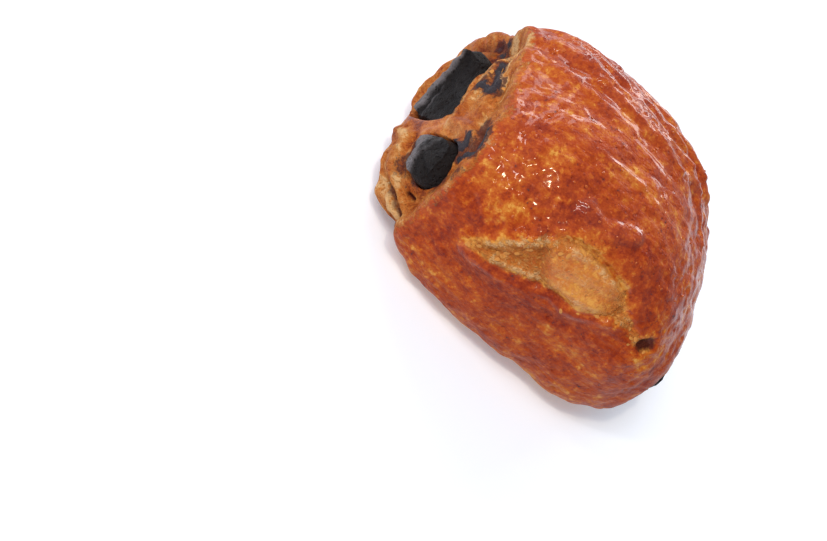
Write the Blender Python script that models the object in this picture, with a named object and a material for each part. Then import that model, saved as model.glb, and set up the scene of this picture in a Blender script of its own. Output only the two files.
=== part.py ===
"""Pain au chocolat: a baked roll of laminated dough with two chocolate batons through it.

Blender 4.5, metres, +Z up. The roll lies along X on its flat underside. Its shown end
looks along -X, and the side with the tear in the crust looks along -Y.
"""
import math
from collections import namedtuple

import bmesh
import bpy
from mathutils import Vector, noise

MM = 0.001

# The whole roll
LENGTH = 80.8 * MM
WIDTH = 62.0 * MM
HEIGHT = 45.8 * MM
UNDERSIDE = 0.8 * MM        # what the oven tray has pressed flat
PLAN_POWER = 3.3            # roundness of the outline from above
CROWN_POWER = 2.35          # roundness of the domed upper part
BELLY_POWER = 4.4           # roundness of the lower part
WAIST = 0.41                # height of the widest level, as a share of the height
SHOWN_END_SLOPE = 0.156     # how far the ends lean in at the top
FAR_END_SLOPE = 0.33
END_SPREAD = 0.029
END_DROP = 0.038
LEAN = 4.7 * MM             # sideways twist of the top from end to end

# Crust and the bare dough at the ends
EDGE_INSET = 9.7 * MM
EDGE_STEP = 1.9 * MM
EDGE_LIP = 0.9 * MM
EDGE_GROOVE = 9.0 * MM      # past this the bare dough has bulged out again
EDGE_WAVE = 1.0 * MM
NOTCH_PLACE = 21.0 * MM     # where the groove is deepest, on the shoulder of the shown end
NOTCH_REACH = 11.0 * MM
NOTCH_DEPTH = 1.5 * MM
HEEL_HEIGHT = 10.0 * MM     # below this the crust ends further from the shown end
HEEL_INSET = 3.0 * MM
RINGS_LOW = 2.5 * MM        # the rings fade out between these heights, towards the rim
RINGS_FULL = 8.0 * MM

# Rolled layers round the batons
LAYER_PITCH = 4.6 * MM
LAYER_DEPTH = 0.55 * MM
MOUTH_DEPTH = 1.2 * MM
MOUTH_REACH = 2.6 * MM
MOUTH_SLOPE = 1.6 * MM      # the mouth opens further above a baton, as a slope of this depth
MOUTH_SLOPE_REACH = 8.0 * MM
CREASE_RADIUS = 18.5 * MM   # crease between the rolled core and the outer turn
CREASE_DEPTH = 1.0 * MM

# Tear along the side, where the pale layers show
TEAR_START = -23.0 * MM
TEAR_END = 14.0 * MM
TEAR_LOW = 22.0 * MM
TEAR_RISE = 13.0 * MM
TEAR_HALF_WIDTH = 5.4 * MM
TEAR_DEPTH = 1.3 * MM
TEAR_LIP = 0.7 * MM
TEAR_LAYERS = 2

# Blisters and waves of the crust
SWELL_SIZE = 17.0 * MM
SWELL_DEPTH = 0.9 * MM
BLISTER_SIZE = 7.0 * MM
BLISTER_DEPTH = 0.45 * MM
WRINKLE_PITCH = 7.5 * MM
WRINKLE_DEPTH = 0.6 * MM
SEAM_PLACE = 9.0 * MM
SEAM_WIDTH = 3.0 * MM
SEAM_DEPTH = 1.2 * MM

# Mesh density
FORM_CELLS = 20
BATON_CELLS = 8
END_SPAN_Y = 0.85           # part of each cube face that is the end of the roll
END_SPAN_Z = 0.62
GAP = 0.35 * MM             # dough to chocolate

Baton = namedtuple(
    "Baton", "name near far near_size far_size near_tilt near_taper near_x far_x slant power")

BATONS = (
    Baton("baton_1", near=(7.6 * MM, 18.2 * MM), far=(9.0 * MM, 17.5 * MM),
          near_size=(18.6 * MM, 9.6 * MM), far_size=(12.0 * MM, 8.0 * MM),
          near_tilt=math.radians(33), near_taper=0.62, near_x=-35.8 * MM, far_x=33.6 * MM,
          slant=0.42, power=3.3),
    Baton("baton_2", near=(-12.8 * MM, 18.7 * MM), far=(-15.0 * MM, 15.0 * MM),
          near_size=(10.8 * MM, 8.8 * MM), far_size=(11.5 * MM, 8.5 * MM),
          near_tilt=math.radians(28), near_taper=-0.35, near_x=-35.8 * MM, far_x=34.8 * MM,
          slant=0.42, power=2.6),
)
BATON_TAPER_END = 30.0 * MM     # past this from the shown end a baton has its inner section
BATON_WORN = 0.13               # how much thinner a baton is at its very ends, as a share
CHOCOLATE_LUMP = 0.6 * MM
CHOCOLATE_LUMP_SIZE = 4.0 * MM
OVERSHOOT = 9.0 * MM            # how far a cutter runs past its baton

Lump = namedtuple("Lump", "x y z reach height")

# Swells and dents of the two ends, out of the smooth form
LUMPS = (
    Lump(-32.5 * MM, 23.5 * MM, 13.5 * MM, 12.0 * MM, 2.1 * MM),    # side roll
    Lump(-31.0 * MM, 26.0 * MM, 26.5 * MM, 7.5 * MM, -2.0 * MM),    # notch over the side roll
    Lump(-37.0 * MM, -14.5 * MM, 5.0 * MM, 13.0 * MM, 1.5 * MM),    # roll under the rounder baton
    Lump(-37.5 * MM, -1.5 * MM, 7.0 * MM, 7.0 * MM, 0.9 * MM),      # under the web
    Lump(-28.0 * MM, -22.5 * MM, 2.0 * MM, 8.0 * MM, -1.2 * MM),    # tucked lower corner
    Lump(-27.5 * MM, 22.5 * MM, 32.5 * MM, 8.0 * MM, 0.4 * MM),     # shoulder
    Lump(32.0 * MM, -25.0 * MM, 6.0 * MM, 13.0 * MM, -0.8 * MM),    # far lower corner
    Lump(29.0 * MM, 17.0 * MM, 29.0 * MM, 14.0 * MM, -0.9 * MM),    # far shoulder
)

CRUST_COLOUR = (0.36, 0.105, 0.03, 1.0)
CHOCOLATE_COLOUR = (0.026, 0.018, 0.018, 1.0)


def smooth(value, start, end):
    """Ease from 0 at start to 1 at end."""
    t = min(max((value - start) / (end - start), 0.0), 1.0)
    return t * t * (3 - 2 * t)


def bump(distance, width):
    """A rounded bump, 1 at no distance and 0 past the width."""
    t = min(abs(distance) / width, 1.0)
    return (1 - t * t) ** 2


def mix(low, high, share):
    """The value a share of the way from low to high."""
    return low + (high - low) * share


def grain(point, size, seed=0.0):
    """Smooth noise of a given feature size, about -1 to 1, the same in each run."""
    return noise.noise(Vector(point) / size + Vector((seed, 2 * seed, -seed)))


def baton_section(baton, x):
    """Middle, size, tilt and taper of a baton's section at a place along the roll."""
    share = (x - baton.near_x) / (baton.far_x - baton.near_x)
    settled = smooth(x - baton.near_x, 0.0, BATON_TAPER_END)
    y = mix(baton.near[0], baton.far[0], share)
    z = mix(baton.near[1], baton.far[1], share)
    width = mix(baton.near_size[0], baton.far_size[0], settled)
    thickness = mix(baton.near_size[1], baton.far_size[1], settled)
    tilt = mix(baton.near_tilt, 0.0, settled)
    taper = mix(baton.near_taper, 0.0, settled)
    return y, z, width, thickness, tilt, taper


def baton_distance(baton, point):
    """How far a point of an end face lies outside a baton's section, about, in metres."""
    y, z, width, thickness, tilt, taper = baton_section(baton, point.x)
    across = (point.y - y) * math.cos(tilt) + (point.z - z) * math.sin(tilt)
    up = (point.z - z) * math.cos(tilt) - (point.y - y) * math.sin(tilt)
    thickness *= 1 - taper * min(max(2 * across / width, -1.0), 1.0)
    reach = (abs(2 * across / width) ** 2.6 + abs(2 * up / thickness) ** 2.6) ** (1 / 2.6)
    return (reach - 1) * thickness / 2


def plain_form(direction):
    """Point of the smooth roll, before any relief, in a direction from its middle."""
    if direction.z > 0:
        reach, power = HEIGHT * (1 - WAIST), CROWN_POWER
    else:
        reach, power = HEIGHT * WAIST, BELLY_POWER
    plan = (abs(2 * direction.x / LENGTH) ** PLAN_POWER
            + abs(2 * direction.y / WIDTH) ** PLAN_POWER) ** (1 / PLAN_POWER)
    point = direction * (plan ** power + abs(direction.z / reach) ** power) ** (-1 / power)
    point.z += HEIGHT * WAIST
    along = 2 * point.x / LENGTH
    point.y = point.y * (1 + END_SPREAD * along) - LEAN * along * point.z / HEIGHT
    point.z *= 1 - END_DROP * along
    slope = SHOWN_END_SLOPE if point.x < 0 else FAR_END_SLOPE
    point.x *= 1 - slope * point.z / HEIGHT
    point.z -= UNDERSIDE
    return point


def past_edge(point):
    """How far a point lies past the crust's edge, towards its end of the roll."""
    inset = EDGE_INSET + EDGE_WAVE * grain((point.x, point.y, point.z), 9 * MM, 5.0)
    if point.x < 0 and point.y < 0:
        inset += HEEL_INSET * smooth(point.z, HEEL_HEIGHT, 2 * MM)
    return abs(point.x) - (LENGTH / 2 - inset)


def crust_edge(point):
    """The crust's lip and the groove between it and the bare dough of the end."""
    past = past_edge(point)
    down = smooth(past, 0.0, 2.2 * MM) - smooth(past, 3 * MM, EDGE_GROOVE)
    notch = NOTCH_DEPTH * bump(point.y - NOTCH_PLACE, NOTCH_REACH) * (point.x < 0)
    return EDGE_LIP * bump(past + 0.5 * MM, 3 * MM) - (EDGE_STEP + notch) * down


def end_rolls(point):
    """The swells and dents of the two ends."""
    return sum(lump.height * bump((point - Vector(lump[:3])).length, lump.reach)
               for lump in LUMPS)


def rolled_layers(point):
    """Rings of dough round the batons and the mouths that the batons lie in."""
    bare = smooth(past_edge(point), 0.0, 3 * MM)
    if bare == 0.0:
        return 0.0
    outside, baton = min((baton_distance(baton, point), baton) for baton in BATONS)
    above = smooth(point.z - baton_section(baton, point.x)[1], -2 * MM, 6 * MM)
    ripple = grain(point, 8 * MM, 3.0) * 1.5 * MM
    rings = math.cos(2 * math.pi * (outside + ripple) / LAYER_PITCH)
    mouth = 1 - smooth(outside, -1 * MM, MOUTH_REACH)
    slope = MOUTH_SLOPE * above * (1 - smooth(outside, 0.0, MOUTH_SLOPE_REACH))
    depth = LAYER_DEPTH * smooth(point.z, RINGS_LOW, RINGS_FULL)
    return bare * (depth * rings * (1 - mouth) - MOUTH_DEPTH * mouth - slope)


def outer_turn(point):
    """Crease where the outer turn of dough folds round the core, at the shown end."""
    if point.x > 0:
        return 0.0
    from_core = math.hypot(point.y + 4 * MM, point.z - 22 * MM) - CREASE_RADIUS
    low = 1 - smooth(point.z, 12 * MM, 18 * MM)
    end = smooth(-point.x, 26 * MM, 32 * MM)
    return -CREASE_DEPTH * low * end * bump(from_core, 2.6 * MM)


def tear(point):
    """The torn band along the side, with its layers and raised lips."""
    share = (point.x - TEAR_START) / (TEAR_END - TEAR_START)
    if not 0 < share < 1 or point.y > -0.2 * WIDTH:
        return 0.0
    middle = TEAR_LOW + TEAR_RISE * (1 - (1 - share) ** 1.8)
    half = TEAR_HALF_WIDTH * math.sin(math.pi * share) ** 0.7
    outside = abs(point.z - middle) - half
    fade = smooth(half, 0.0, 4 * MM)
    trough = 1 - smooth(outside, -2.6 * MM, 0.6 * MM)
    layers = 0.25 * math.cos(math.pi * TEAR_LAYERS * (point.z - middle) / half)
    lip = bump(outside - 1.6 * MM, 3.2 * MM)
    return fade * (TEAR_LIP * lip - TEAR_DEPTH * trough * (0.75 + layers))


def crust_waves(point):
    """Swellings and blisters all over, and wrinkles along the top's far shoulder."""
    swell = SWELL_DEPTH * grain(point, SWELL_SIZE, 1.0)
    blister = BLISTER_DEPTH * grain(point, BLISTER_SIZE, 2.0)
    shoulder = bump(point.y - 14 * MM, 16 * MM) * smooth(point.z, 30 * MM, 38 * MM)
    bend = point.y + 0.35 * point.x + 3 * MM * grain(point, 14 * MM, 4.0)
    wrinkle = WRINKLE_DEPTH * shoulder * math.cos(2 * math.pi * bend / WRINKLE_PITCH)
    return swell + blister + wrinkle


def seam(point):
    """The closing seam of the roll, along its underside."""
    under = 1 - smooth(point.z, 0.5 * MM, 3 * MM)
    return -SEAM_DEPTH * under * bump(point.y - SEAM_PLACE, SEAM_WIDTH)


def relief(point):
    """All that stands out of the plain form or lies under it, along the normal."""
    return (crust_edge(point) + end_rolls(point) + rolled_layers(point) + outer_turn(point)
            + tear(point) + crust_waves(point) + seam(point))


def grid_cube(cells):
    """A cube from -1 to 1 with each face cut into cells by cells."""
    mesh = bmesh.new()
    bmesh.ops.create_cube(mesh, size=2.0)
    bmesh.ops.subdivide_edges(mesh, edges=mesh.edges[:], cuts=cells - 1, use_grid_fill=True)
    return mesh


def is_fine(face):
    """Whether a face of the grid cube is on an end of the roll or in the torn band."""
    middle = face.calc_center_median()
    if abs(middle.x) > 0.99:
        return abs(middle.y) < END_SPAN_Y and abs(middle.z) < END_SPAN_Z
    point = plain_form(cube_direction(middle))
    return abs(tear(point)) > 0.02 * MM


def cube_direction(corner):
    """Direction from the middle of the roll through a point of the grid cube."""
    return Vector(math.tan(value * math.pi / 4) for value in corner).normalized()


def pastry_mesh():
    """The roll of dough: a fine grid cube moved to the plain form, then to its relief."""
    mesh = grid_cube(FORM_CELLS)
    fine = {edge for face in mesh.faces if is_fine(face) for edge in face.edges}
    bmesh.ops.subdivide_edges(mesh, edges=list(fine), cuts=1, use_grid_fill=True)
    for vertex in mesh.verts:
        vertex.co = plain_form(cube_direction(vertex.co))
    mesh.normal_update()
    moves = [vertex.normal * relief(vertex.co) for vertex in mesh.verts]
    for vertex, move in zip(mesh.verts, moves):
        vertex.co += move
        vertex.co.z = max(vertex.co.z, 0.0)
    bmesh.ops.triangulate(mesh, faces=mesh.faces[:])
    return mesh


def baton_mesh(baton, grow=0.0, overshoot=0.0):
    """A chocolate baton, or its cutter when it is grown and runs past its ends."""
    mesh = grid_cube(BATON_CELLS)
    for vertex in mesh.verts:
        along, across, up = vertex.co
        eased = math.copysign(1 - (1 - abs(along)) ** 1.8, along)
        x = mix(baton.near_x - overshoot, baton.far_x + overshoot, (eased + 1) / 2)
        if overshoot == 0.0 and along < 0:
            x -= eased * baton.slant * up * baton.near_size[1] / 2
        y, z, width, thickness, tilt, taper = baton_section(baton, x)
        rounded = max(abs(across), abs(up)) / max(
            (abs(across) ** baton.power + abs(up) ** baton.power) ** (1 / baton.power), 1e-6)
        worn = 1 - BATON_WORN * smooth(abs(eased), 0.93, 1.0) * (overshoot == 0.0)
        up *= rounded * worn * (thickness / 2 * (1 - taper * across) + grow)
        across *= rounded * worn * (width / 2 + grow)
        vertex.co = Vector((x, y + across * math.cos(tilt) - up * math.sin(tilt),
                            z + up * math.cos(tilt) + across * math.sin(tilt)))
        if overshoot == 0.0 and abs(along) > 0.99:
            lump = grain(vertex.co, CHOCOLATE_LUMP_SIZE, 7.0)
            vertex.co.x += CHOCOLATE_LUMP * lump
    bmesh.ops.triangulate(mesh, faces=mesh.faces[:])
    return mesh


def add_object(name, mesh, collection):
    """Put a mesh in the scene as a named object of a collection."""
    data = bpy.data.meshes.new(name)
    mesh.to_mesh(data)
    mesh.free()
    piece = bpy.data.objects.new(name, data)
    collection.objects.link(piece)
    return piece


def dress(piece, colour, roughness):
    """Give a piece its own material and smooth shading."""
    material = bpy.data.materials.new(piece.name)
    material.use_nodes = True
    shader = material.node_tree.nodes["Principled BSDF"]
    shader.inputs["Base Color"].default_value = colour
    shader.inputs["Roughness"].default_value = roughness
    shader.inputs["Metallic"].default_value = 0.0
    piece.data.materials.append(material)
    piece.data.shade_smooth()
    piece.data.set_sharp_from_angle(angle=math.radians(50))


def cut_bed(pastry, baton, collection):
    """Cut the bed of one baton through the dough, a little larger than the baton."""
    cutter = add_object(baton.name + "_bed", baton_mesh(baton, GAP, OVERSHOOT), collection)
    cutter.display_type = "WIRE"
    cutter.hide_render = True
    cut = pastry.modifiers.new(baton.name + "_bed", "BOOLEAN")
    cut.operation = "DIFFERENCE"
    cut.solver = "EXACT"
    cut.object = cutter


def centre_on_base(pieces, cutters):
    """Move all meshes so that the origin is under the middle of the pastry's box."""
    corners = [vertex.co for piece in pieces for vertex in piece.data.vertices]
    middle_x = (min(c.x for c in corners) + max(c.x for c in corners)) / 2
    middle_y = (min(c.y for c in corners) + max(c.y for c in corners)) / 2
    for piece in [*pieces, *cutters]:
        for vertex in piece.data.vertices:
            vertex.co -= Vector((middle_x, middle_y, 0.0))
    print(f"centred by {middle_x * 1000:.3f}, {middle_y * 1000:.3f} mm")


def new_collection(name):
    """A collection linked to the scene."""
    collection = bpy.data.collections.new(name)
    bpy.context.scene.collection.children.link(collection)
    return collection


def build():
    """Build the pastry and its two batons."""
    for old in list(bpy.data.objects):
        bpy.data.objects.remove(old, do_unlink=True)
    parts = new_collection("pain_au_chocolat")
    cutters = new_collection("cutters")
    pastry = add_object("pastry", pastry_mesh(), parts)
    dress(pastry, CRUST_COLOUR, 0.35)
    pieces = [pastry]
    for baton in BATONS:
        piece = add_object(baton.name, baton_mesh(baton), parts)
        dress(piece, CHOCOLATE_COLOUR, 0.5)
        cut_bed(pastry, baton, cutters)
        pieces.append(piece)
    centre_on_base(pieces, list(cutters.objects))


build()
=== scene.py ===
"""Looks of a pain au chocolat: a glazed roll of laminated dough with two chocolate batons.

Metres, +Z up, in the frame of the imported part. The shown end looks along -X and the side
with the torn crust along -Y. Each sub-assembly is a class that builds and dresses its piece.
"""
import logging
import math
from dataclasses import dataclass, field
from enum import Enum

import bmesh
import bpy
import numpy as np
from mathutils import Matrix, Vector, kdtree, noise


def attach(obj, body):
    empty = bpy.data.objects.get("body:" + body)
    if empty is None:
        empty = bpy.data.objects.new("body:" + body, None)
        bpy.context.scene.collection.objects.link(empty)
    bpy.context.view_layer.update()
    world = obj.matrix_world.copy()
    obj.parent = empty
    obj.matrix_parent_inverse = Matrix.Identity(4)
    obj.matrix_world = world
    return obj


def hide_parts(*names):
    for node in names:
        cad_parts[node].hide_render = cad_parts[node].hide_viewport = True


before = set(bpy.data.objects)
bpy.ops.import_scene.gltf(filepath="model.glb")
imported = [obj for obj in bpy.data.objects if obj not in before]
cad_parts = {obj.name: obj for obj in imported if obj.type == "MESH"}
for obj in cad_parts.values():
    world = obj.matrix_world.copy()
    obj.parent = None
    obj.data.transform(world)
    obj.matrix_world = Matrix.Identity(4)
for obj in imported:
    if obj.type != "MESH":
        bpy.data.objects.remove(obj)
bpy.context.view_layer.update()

MM = 0.001
log = logging.getLogger("pain_au_chocolat")


class Slot(Enum):
    """The finishes that the object's pieces wear."""

    CRUST = "crust"
    CHOCOLATE = "chocolate"


# Soft steps, bumps and noise over arrays of points

def smooth(value: np.ndarray, start: float, end: float) -> np.ndarray:
    """Ease from 0 at start to 1 at end."""
    t = np.clip((value - start) / (end - start), 0.0, 1.0)
    return t * t * (3 - 2 * t)


def bump(distance: np.ndarray, width: float) -> np.ndarray:
    """A rounded bump, 1 at no distance and 0 past the width."""
    t = np.minimum(np.abs(distance) / width, 1.0)
    return (1 - t * t) ** 2


def mix(low: np.ndarray, high: np.ndarray, share: np.ndarray) -> np.ndarray:
    """The value a share of the way from low to high."""
    return low + (high - low) * share


def in_features(points: np.ndarray, size: float, seed: float, stretch: tuple) -> np.ndarray:
    """Points in feature sizes, moved by the seed, so that layers of noise differ."""
    return points / (size * np.array(stretch)) + np.array((seed, 2 * seed, -seed))


def grain(points: np.ndarray, size: float, seed: float = 0.0,
          stretch: tuple = (1.0, 1.0, 1.0)) -> np.ndarray:
    """Smooth noise at points.

    Args:
        points: Places, one row each, in metres.
        size: Feature size in metres.
        seed: Moves the pattern, so that layers differ.
        stretch: How many times longer the features are along each axis.

    Returns:
        One value a point, about -1 to 1, the same in each run.
    """
    scaled = in_features(points, size, seed, stretch)
    return np.fromiter((noise.noise(p) for p in scaled), float, len(scaled))


def cells(points: np.ndarray, size: float, seed: float = 0.0) -> np.ndarray:
    """Distance from each point to the nearest of scattered centres, in cell sizes."""
    scaled = in_features(points, size, seed, (1.0, 1.0, 1.0))
    return np.fromiter((noise.voronoi(p)[0][0] for p in scaled), float, len(scaled))


def veins(points: np.ndarray, size: float, seed: float, stretch: tuple,
          thin: float = 5.0) -> np.ndarray:
    """Thin winding lines, 1 on a line and 0 away from it."""
    return np.clip(1 - thin * np.abs(grain(points, size, seed, stretch)), 0, 1)


@dataclass(frozen=True)
class Layer:
    """One layer of noise: feature size in millimetres, height, seed, stretch by axis."""

    size: float
    height: float
    seed: float
    stretch: tuple = (1.0, 1.0, 1.0)


def total(points: np.ndarray, layers: tuple) -> np.ndarray:
    """Layers of noise added up, in the unit of their heights."""
    return sum(layer.height * grain(points, layer.size * MM, layer.seed, layer.stretch)
               for layer in layers)


@dataclass(frozen=True)
class Stroke:
    """A mark on the surface: its path in millimetres, where it has faded out, its strength."""

    path: tuple
    width: float = 1.5
    strength: float = 1.0


def near_line(points: np.ndarray, path: tuple) -> np.ndarray:
    """Distance from points to a path of straight pieces, or to a single place.

    Args:
        points: Places, one row each, in metres.
        path: The path's corners in millimetres.

    Returns:
        One distance a point, in metres.
    """
    corners = np.array(path) * MM
    best = np.linalg.norm(points - corners[0], axis=1)
    for start, end in zip(corners[:-1], corners[1:]):
        along = end - start
        share = np.clip((points - start) @ along / (along @ along), 0, 1)
        best = np.minimum(best, np.linalg.norm(points - start - share[:, None] * along, axis=1))
    return best


def marks(points: np.ndarray, strokes: tuple, ragged: np.ndarray | float = 0.0) -> np.ndarray:
    """How strongly strokes mark points.

    Args:
        points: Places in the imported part's frame.
        strokes: The strokes to lay on.
        ragged: How far each point counts as moved outward, for a torn edge.

    Returns:
        One value a point, 0 away from all strokes.
    """
    made = np.zeros(len(points))
    for stroke in strokes:
        width = stroke.width * MM
        share = (near_line(points, stroke.path) + ragged) / width
        made = np.maximum(made, stroke.strength * (1 - smooth(share, 0.3, 1.0)))
    return made


# The roll's form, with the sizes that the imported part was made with

@dataclass(frozen=True)
class BatonSpec:
    """One chocolate baton: its run through the roll and its sections.

    Near and far are the shown and the far end: each middle across and up, then each width
    and thickness. The section settles from the near one to the far one by taper_end.
    """

    name: str
    near: tuple
    far: tuple
    near_size: tuple
    far_size: tuple
    near_tilt: float
    near_taper: float
    near_x: float
    far_x: float
    slant: float
    power: float
    corner: float = 0.0
    taper_end: float = 30.0 * MM
    roundness: float = 2.6

    def section(self, x: np.ndarray) -> tuple:
        """The section at places along the roll.

        Args:
            x: The places, in metres.

        Returns:
            Middle across and up, width, thickness, tilt and taper.
        """
        share = (x - self.near_x) / (self.far_x - self.near_x)
        settled = smooth(x - self.near_x, 0.0, self.taper_end)
        return (mix(self.near[0], self.far[0], share), mix(self.near[1], self.far[1], share),
                mix(self.near_size[0], self.far_size[0], settled),
                mix(self.near_size[1], self.far_size[1], settled),
                mix(self.near_tilt, 0.0, settled), mix(self.near_taper, 0.0, settled))

    def distance(self, p: np.ndarray) -> np.ndarray:
        """How far points of an end lie outside the section.

        Args:
            p: Points of the plain form.

        Returns:
            About the distance in metres, below 0 inside.
        """
        y, z, width, thickness, tilt, taper = self.section(p[:, 0])
        across = (p[:, 1] - y) * np.cos(tilt) + (p[:, 2] - z) * np.sin(tilt)
        up = (p[:, 2] - z) * np.cos(tilt) - (p[:, 1] - y) * np.sin(tilt)
        thickness = thickness * (1 - taper * np.clip(2 * across / width, -1, 1))
        reach = (np.abs(2 * across / width) ** self.roundness
                 + np.abs(2 * up / thickness) ** self.roundness) ** (1 / self.roundness)
        return (reach - 1) * thickness / 2


BATONS = (
    BatonSpec("baton_1", near=(7.6 * MM, 18.2 * MM), far=(9.0 * MM, 17.5 * MM),
              near_size=(18.6 * MM, 9.6 * MM), far_size=(12.0 * MM, 8.0 * MM),
              near_tilt=math.radians(33), near_taper=0.62, near_x=-35.8 * MM,
              far_x=33.6 * MM, slant=0.42, power=3.3, corner=0.17),
    BatonSpec("baton_2", near=(-12.8 * MM, 18.7 * MM), far=(-15.0 * MM, 15.0 * MM),
              near_size=(10.8 * MM, 8.8 * MM), far_size=(11.5 * MM, 8.5 * MM),
              near_tilt=math.radians(28), near_taper=-0.35, near_x=-35.8 * MM,
              far_x=34.8 * MM, slant=0.42, power=2.6),
)

# Swells and dents of the two ends: place, reach and height in millimetres
LUMPS = (
    (-32.5, 23.5, 13.5, 12.0, 2.1), (-31.0, 26.0, 26.5, 7.5, -2.0),
    (-37.0, -14.5, 5.0, 13.0, 1.5), (-37.5, -1.5, 7.0, 7.0, 0.9),
    (-28.0, -22.5, 2.0, 8.0, -1.2), (-27.5, 22.5, 32.5, 8.0, 0.4),
    (32.0, -25.0, 6.0, 13.0, -0.8), (29.0, 17.0, 29.0, 14.0, -0.9),
)

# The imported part's meshes were moved by this, to stand over the origin
OFFSET = np.array((0.959, 0.136, 0.0)) * MM


# Marks on the pastry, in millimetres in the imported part's frame

# Chocolate on the dough of the shown end
SMEARS = (
    Stroke(((-32.8, 5.1, 26.7), (-31.6, 3.1, 29.3)), 1.8),
    Stroke(((-31.6, 3.1, 29.3), (-31.3, 5.8, 29.2), (-30.9, 11.0, 29.3)), 1.5, 0.95),
    Stroke(((-31.6, 3.1, 29.3), (-31.2, 5.6, 29.6)), 2.0),
    Stroke(((-28.7, 20.3, 22.7),), 1.0), Stroke(((-29.0, 22.0, 24.4),), 0.8),
    Stroke(((-30.0, 22.7, 21.9),), 0.8),
    Stroke(((-31.5, -8.0, 22.0), (-31.1, -10.9, 25.4), (-31.6, -9.3, 27.4)), 1.5),
    Stroke(((-30.5, -13.8, 25.2), (-30.6, -15.3, 30.7), (-30.6, -12.6, 31.5),
            (-30.6, -10.3, 32.5)), 1.15),
)
STAINS = (
    Stroke(((-31.7, 7.9, 28.5), (-31.6, 3.6, 29.2)), 4.2, 0.75),
    Stroke(((-28.9, 19.0, 22.5), (-29.6, 14.5, 27.0)), 3.6, 0.85),
    Stroke(((-30.5, -8.0, 30.8), (-30.6, -14.0, 30.5)), 3.8, 0.9),
    Stroke(((-30.7, -12.9, 28.0),), 5.0, 0.95),
    Stroke(((-30.9, -19.3, 26.3),), 3.6, 0.8), Stroke(((-35.5, -12.9, 12.9),), 4.2, 0.8),
    Stroke(((-30.3, -18.4, 20.6),), 4.6, 0.8), Stroke(((-34.0, -19.5, 14.5),), 3.0, 0.5),
)
# The smooth dough between the two batons
WEB = (
    Stroke(((-36.2, 4.1, 8.7), (-36.0, -3.5, 16.7), (-34.4, -5.2, 20.5), (-33.8, -6.0, 24.3),
            (-32.5, -5.2, 26.9)), 4.0),
    Stroke(((-30.6, -8.0, 21.7), (-32.2, -8.3, 26.6)), 3.2, 0.8),
)
PALE_DOUGH = (
    Stroke(((-31.0, 11.0, 31.0), (-29.8, 17.0, 28.5), (-29.0, 21.0, 27.0)), 2.6, 0.9),
    Stroke(((-31.4, 7.0, 31.2), (-31.0, 1.0, 31.6)), 2.0, 0.7),
    Stroke(((-35.4, -15.6, 7.2), (-33.0, -19.6, 7.8), (-30.8, -22.4, 8.2)), 2.2, 1.0),
)
# The hollow beside the flat baton, slits and a small hole: dents darkened with painted shade; the
# last slit is a painted shadow line under the tear's upper edge
CAVITY = (Stroke(((-31.6, 24.3, 16.2), (-30.2, 22.8, 21.5), (-31.2, 19.6, 20.6),
                  (-32.2, 12.1, 24.6)), 2.6),)
SLITS = (
    Stroke(((-32.1, -17.3, 11.5), (-30.7, -18.2, 12.3)), 0.75),
    Stroke(((-35.5, -14.8, 8.3), (-33.4, -18.4, 9.0), (-31.1, -21.5, 9.4)), 1.1, 0.7),
    Stroke(((20.2, -27.9, 31.0), (21.4, -26.7, 31.9)), 2.2, 1.0),
    Stroke(((-9.0, -24.0, 36.6), (-5.7, -23.1, 37.9), (-1.3, -23.3, 38.3), (3.7, -23.6, 37.6),
            (8.6, -24.1, 36.8), (10.9, -24.8, 36.2)), 0.9, 0.28),
)
# Where the dough outside the flat baton is drawn in
HOLLOW = (Stroke(((-37.2, 16.0, 12.5), (-37.0, 9.5, 10.0)), 7.0),)
STREAKED = (Stroke(((-36.4, -10.1, 13.3), (-35.0, -16.0, 8.0)), 9.0),)

# The torn window's upper and lower edge: places along X, and heights
TEAR_TOP = ((-21.2, -17.8, -14.1, -10.3, -5.7, -1.3, 3.7, 8.6, 10.9),
            (21.9, 28.5, 33.1, 36.1, 37.9, 38.3, 37.6, 36.8, 35.0))
TEAR_BOTTOM = ((-20.6, -17.1, -12.9, -9.2, -5.9, -1.3, 1.4, 3.8, 6.3, 10.2),
               (21.2, 22.2, 23.8, 25.1, 26.5, 27.9, 27.9, 28.5, 30.1, 32.4))
LOWER_LIP = (Stroke(((-20.6, -27.3, 20.6), (-17.1, -28.7, 21.2), (-12.9, -29.0, 22.7),
                     (-9.2, -29.0, 24.0), (-5.9, -28.6, 25.4), (-1.3, -28.6, 26.8),
                     (3.8, -29.4, 27.4), (6.3, -29.2, 29.0), (10.2, -28.6, 31.4)), 1.9),)
# A crevice in the tear: a dent darkened with painted shade
CREVICE = (Stroke(((-11.3, -25.1, 35.1), (-8.9, -26.0, 31.6), (-6.7, -26.9, 28.7),
                   (-5.5, -28.0, 27.4)), 1.6),)
BAND = (Stroke(((11.1, -27.4, 33.5), (14.2, -27.6, 33.4), (17.7, -28.1, 31.7),
                (21.0, -27.9, 30.9)), 2.0),)
PALE_TORN = (
    Stroke(((-18.4, -27.4, 25.6), (-17.0, -27.0, 28.0), (-14.1, -26.1, 31.6),
            (-10.6, -24.8, 34.6)), 1.6),
    Stroke(((-15.0, -28.4, 24.3), (-9.2, -28.2, 26.5), (-6.8, -28.0, 27.6)), 1.4, 0.8),
    Stroke(((-5.0, -24.6, 36.2), (0.0, -24.4, 36.6), (5.0, -24.9, 36.0)), 1.6, 0.7),
    Stroke(((-3.0, -27.6, 29.6), (2.0, -28.0, 30.2)), 2.2, 0.5),
)
RIGHT_LOBE = (Stroke(((-3.6, -25.8, 33.0), (3.4, -26.4, 33.2)), 7.0),)

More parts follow.
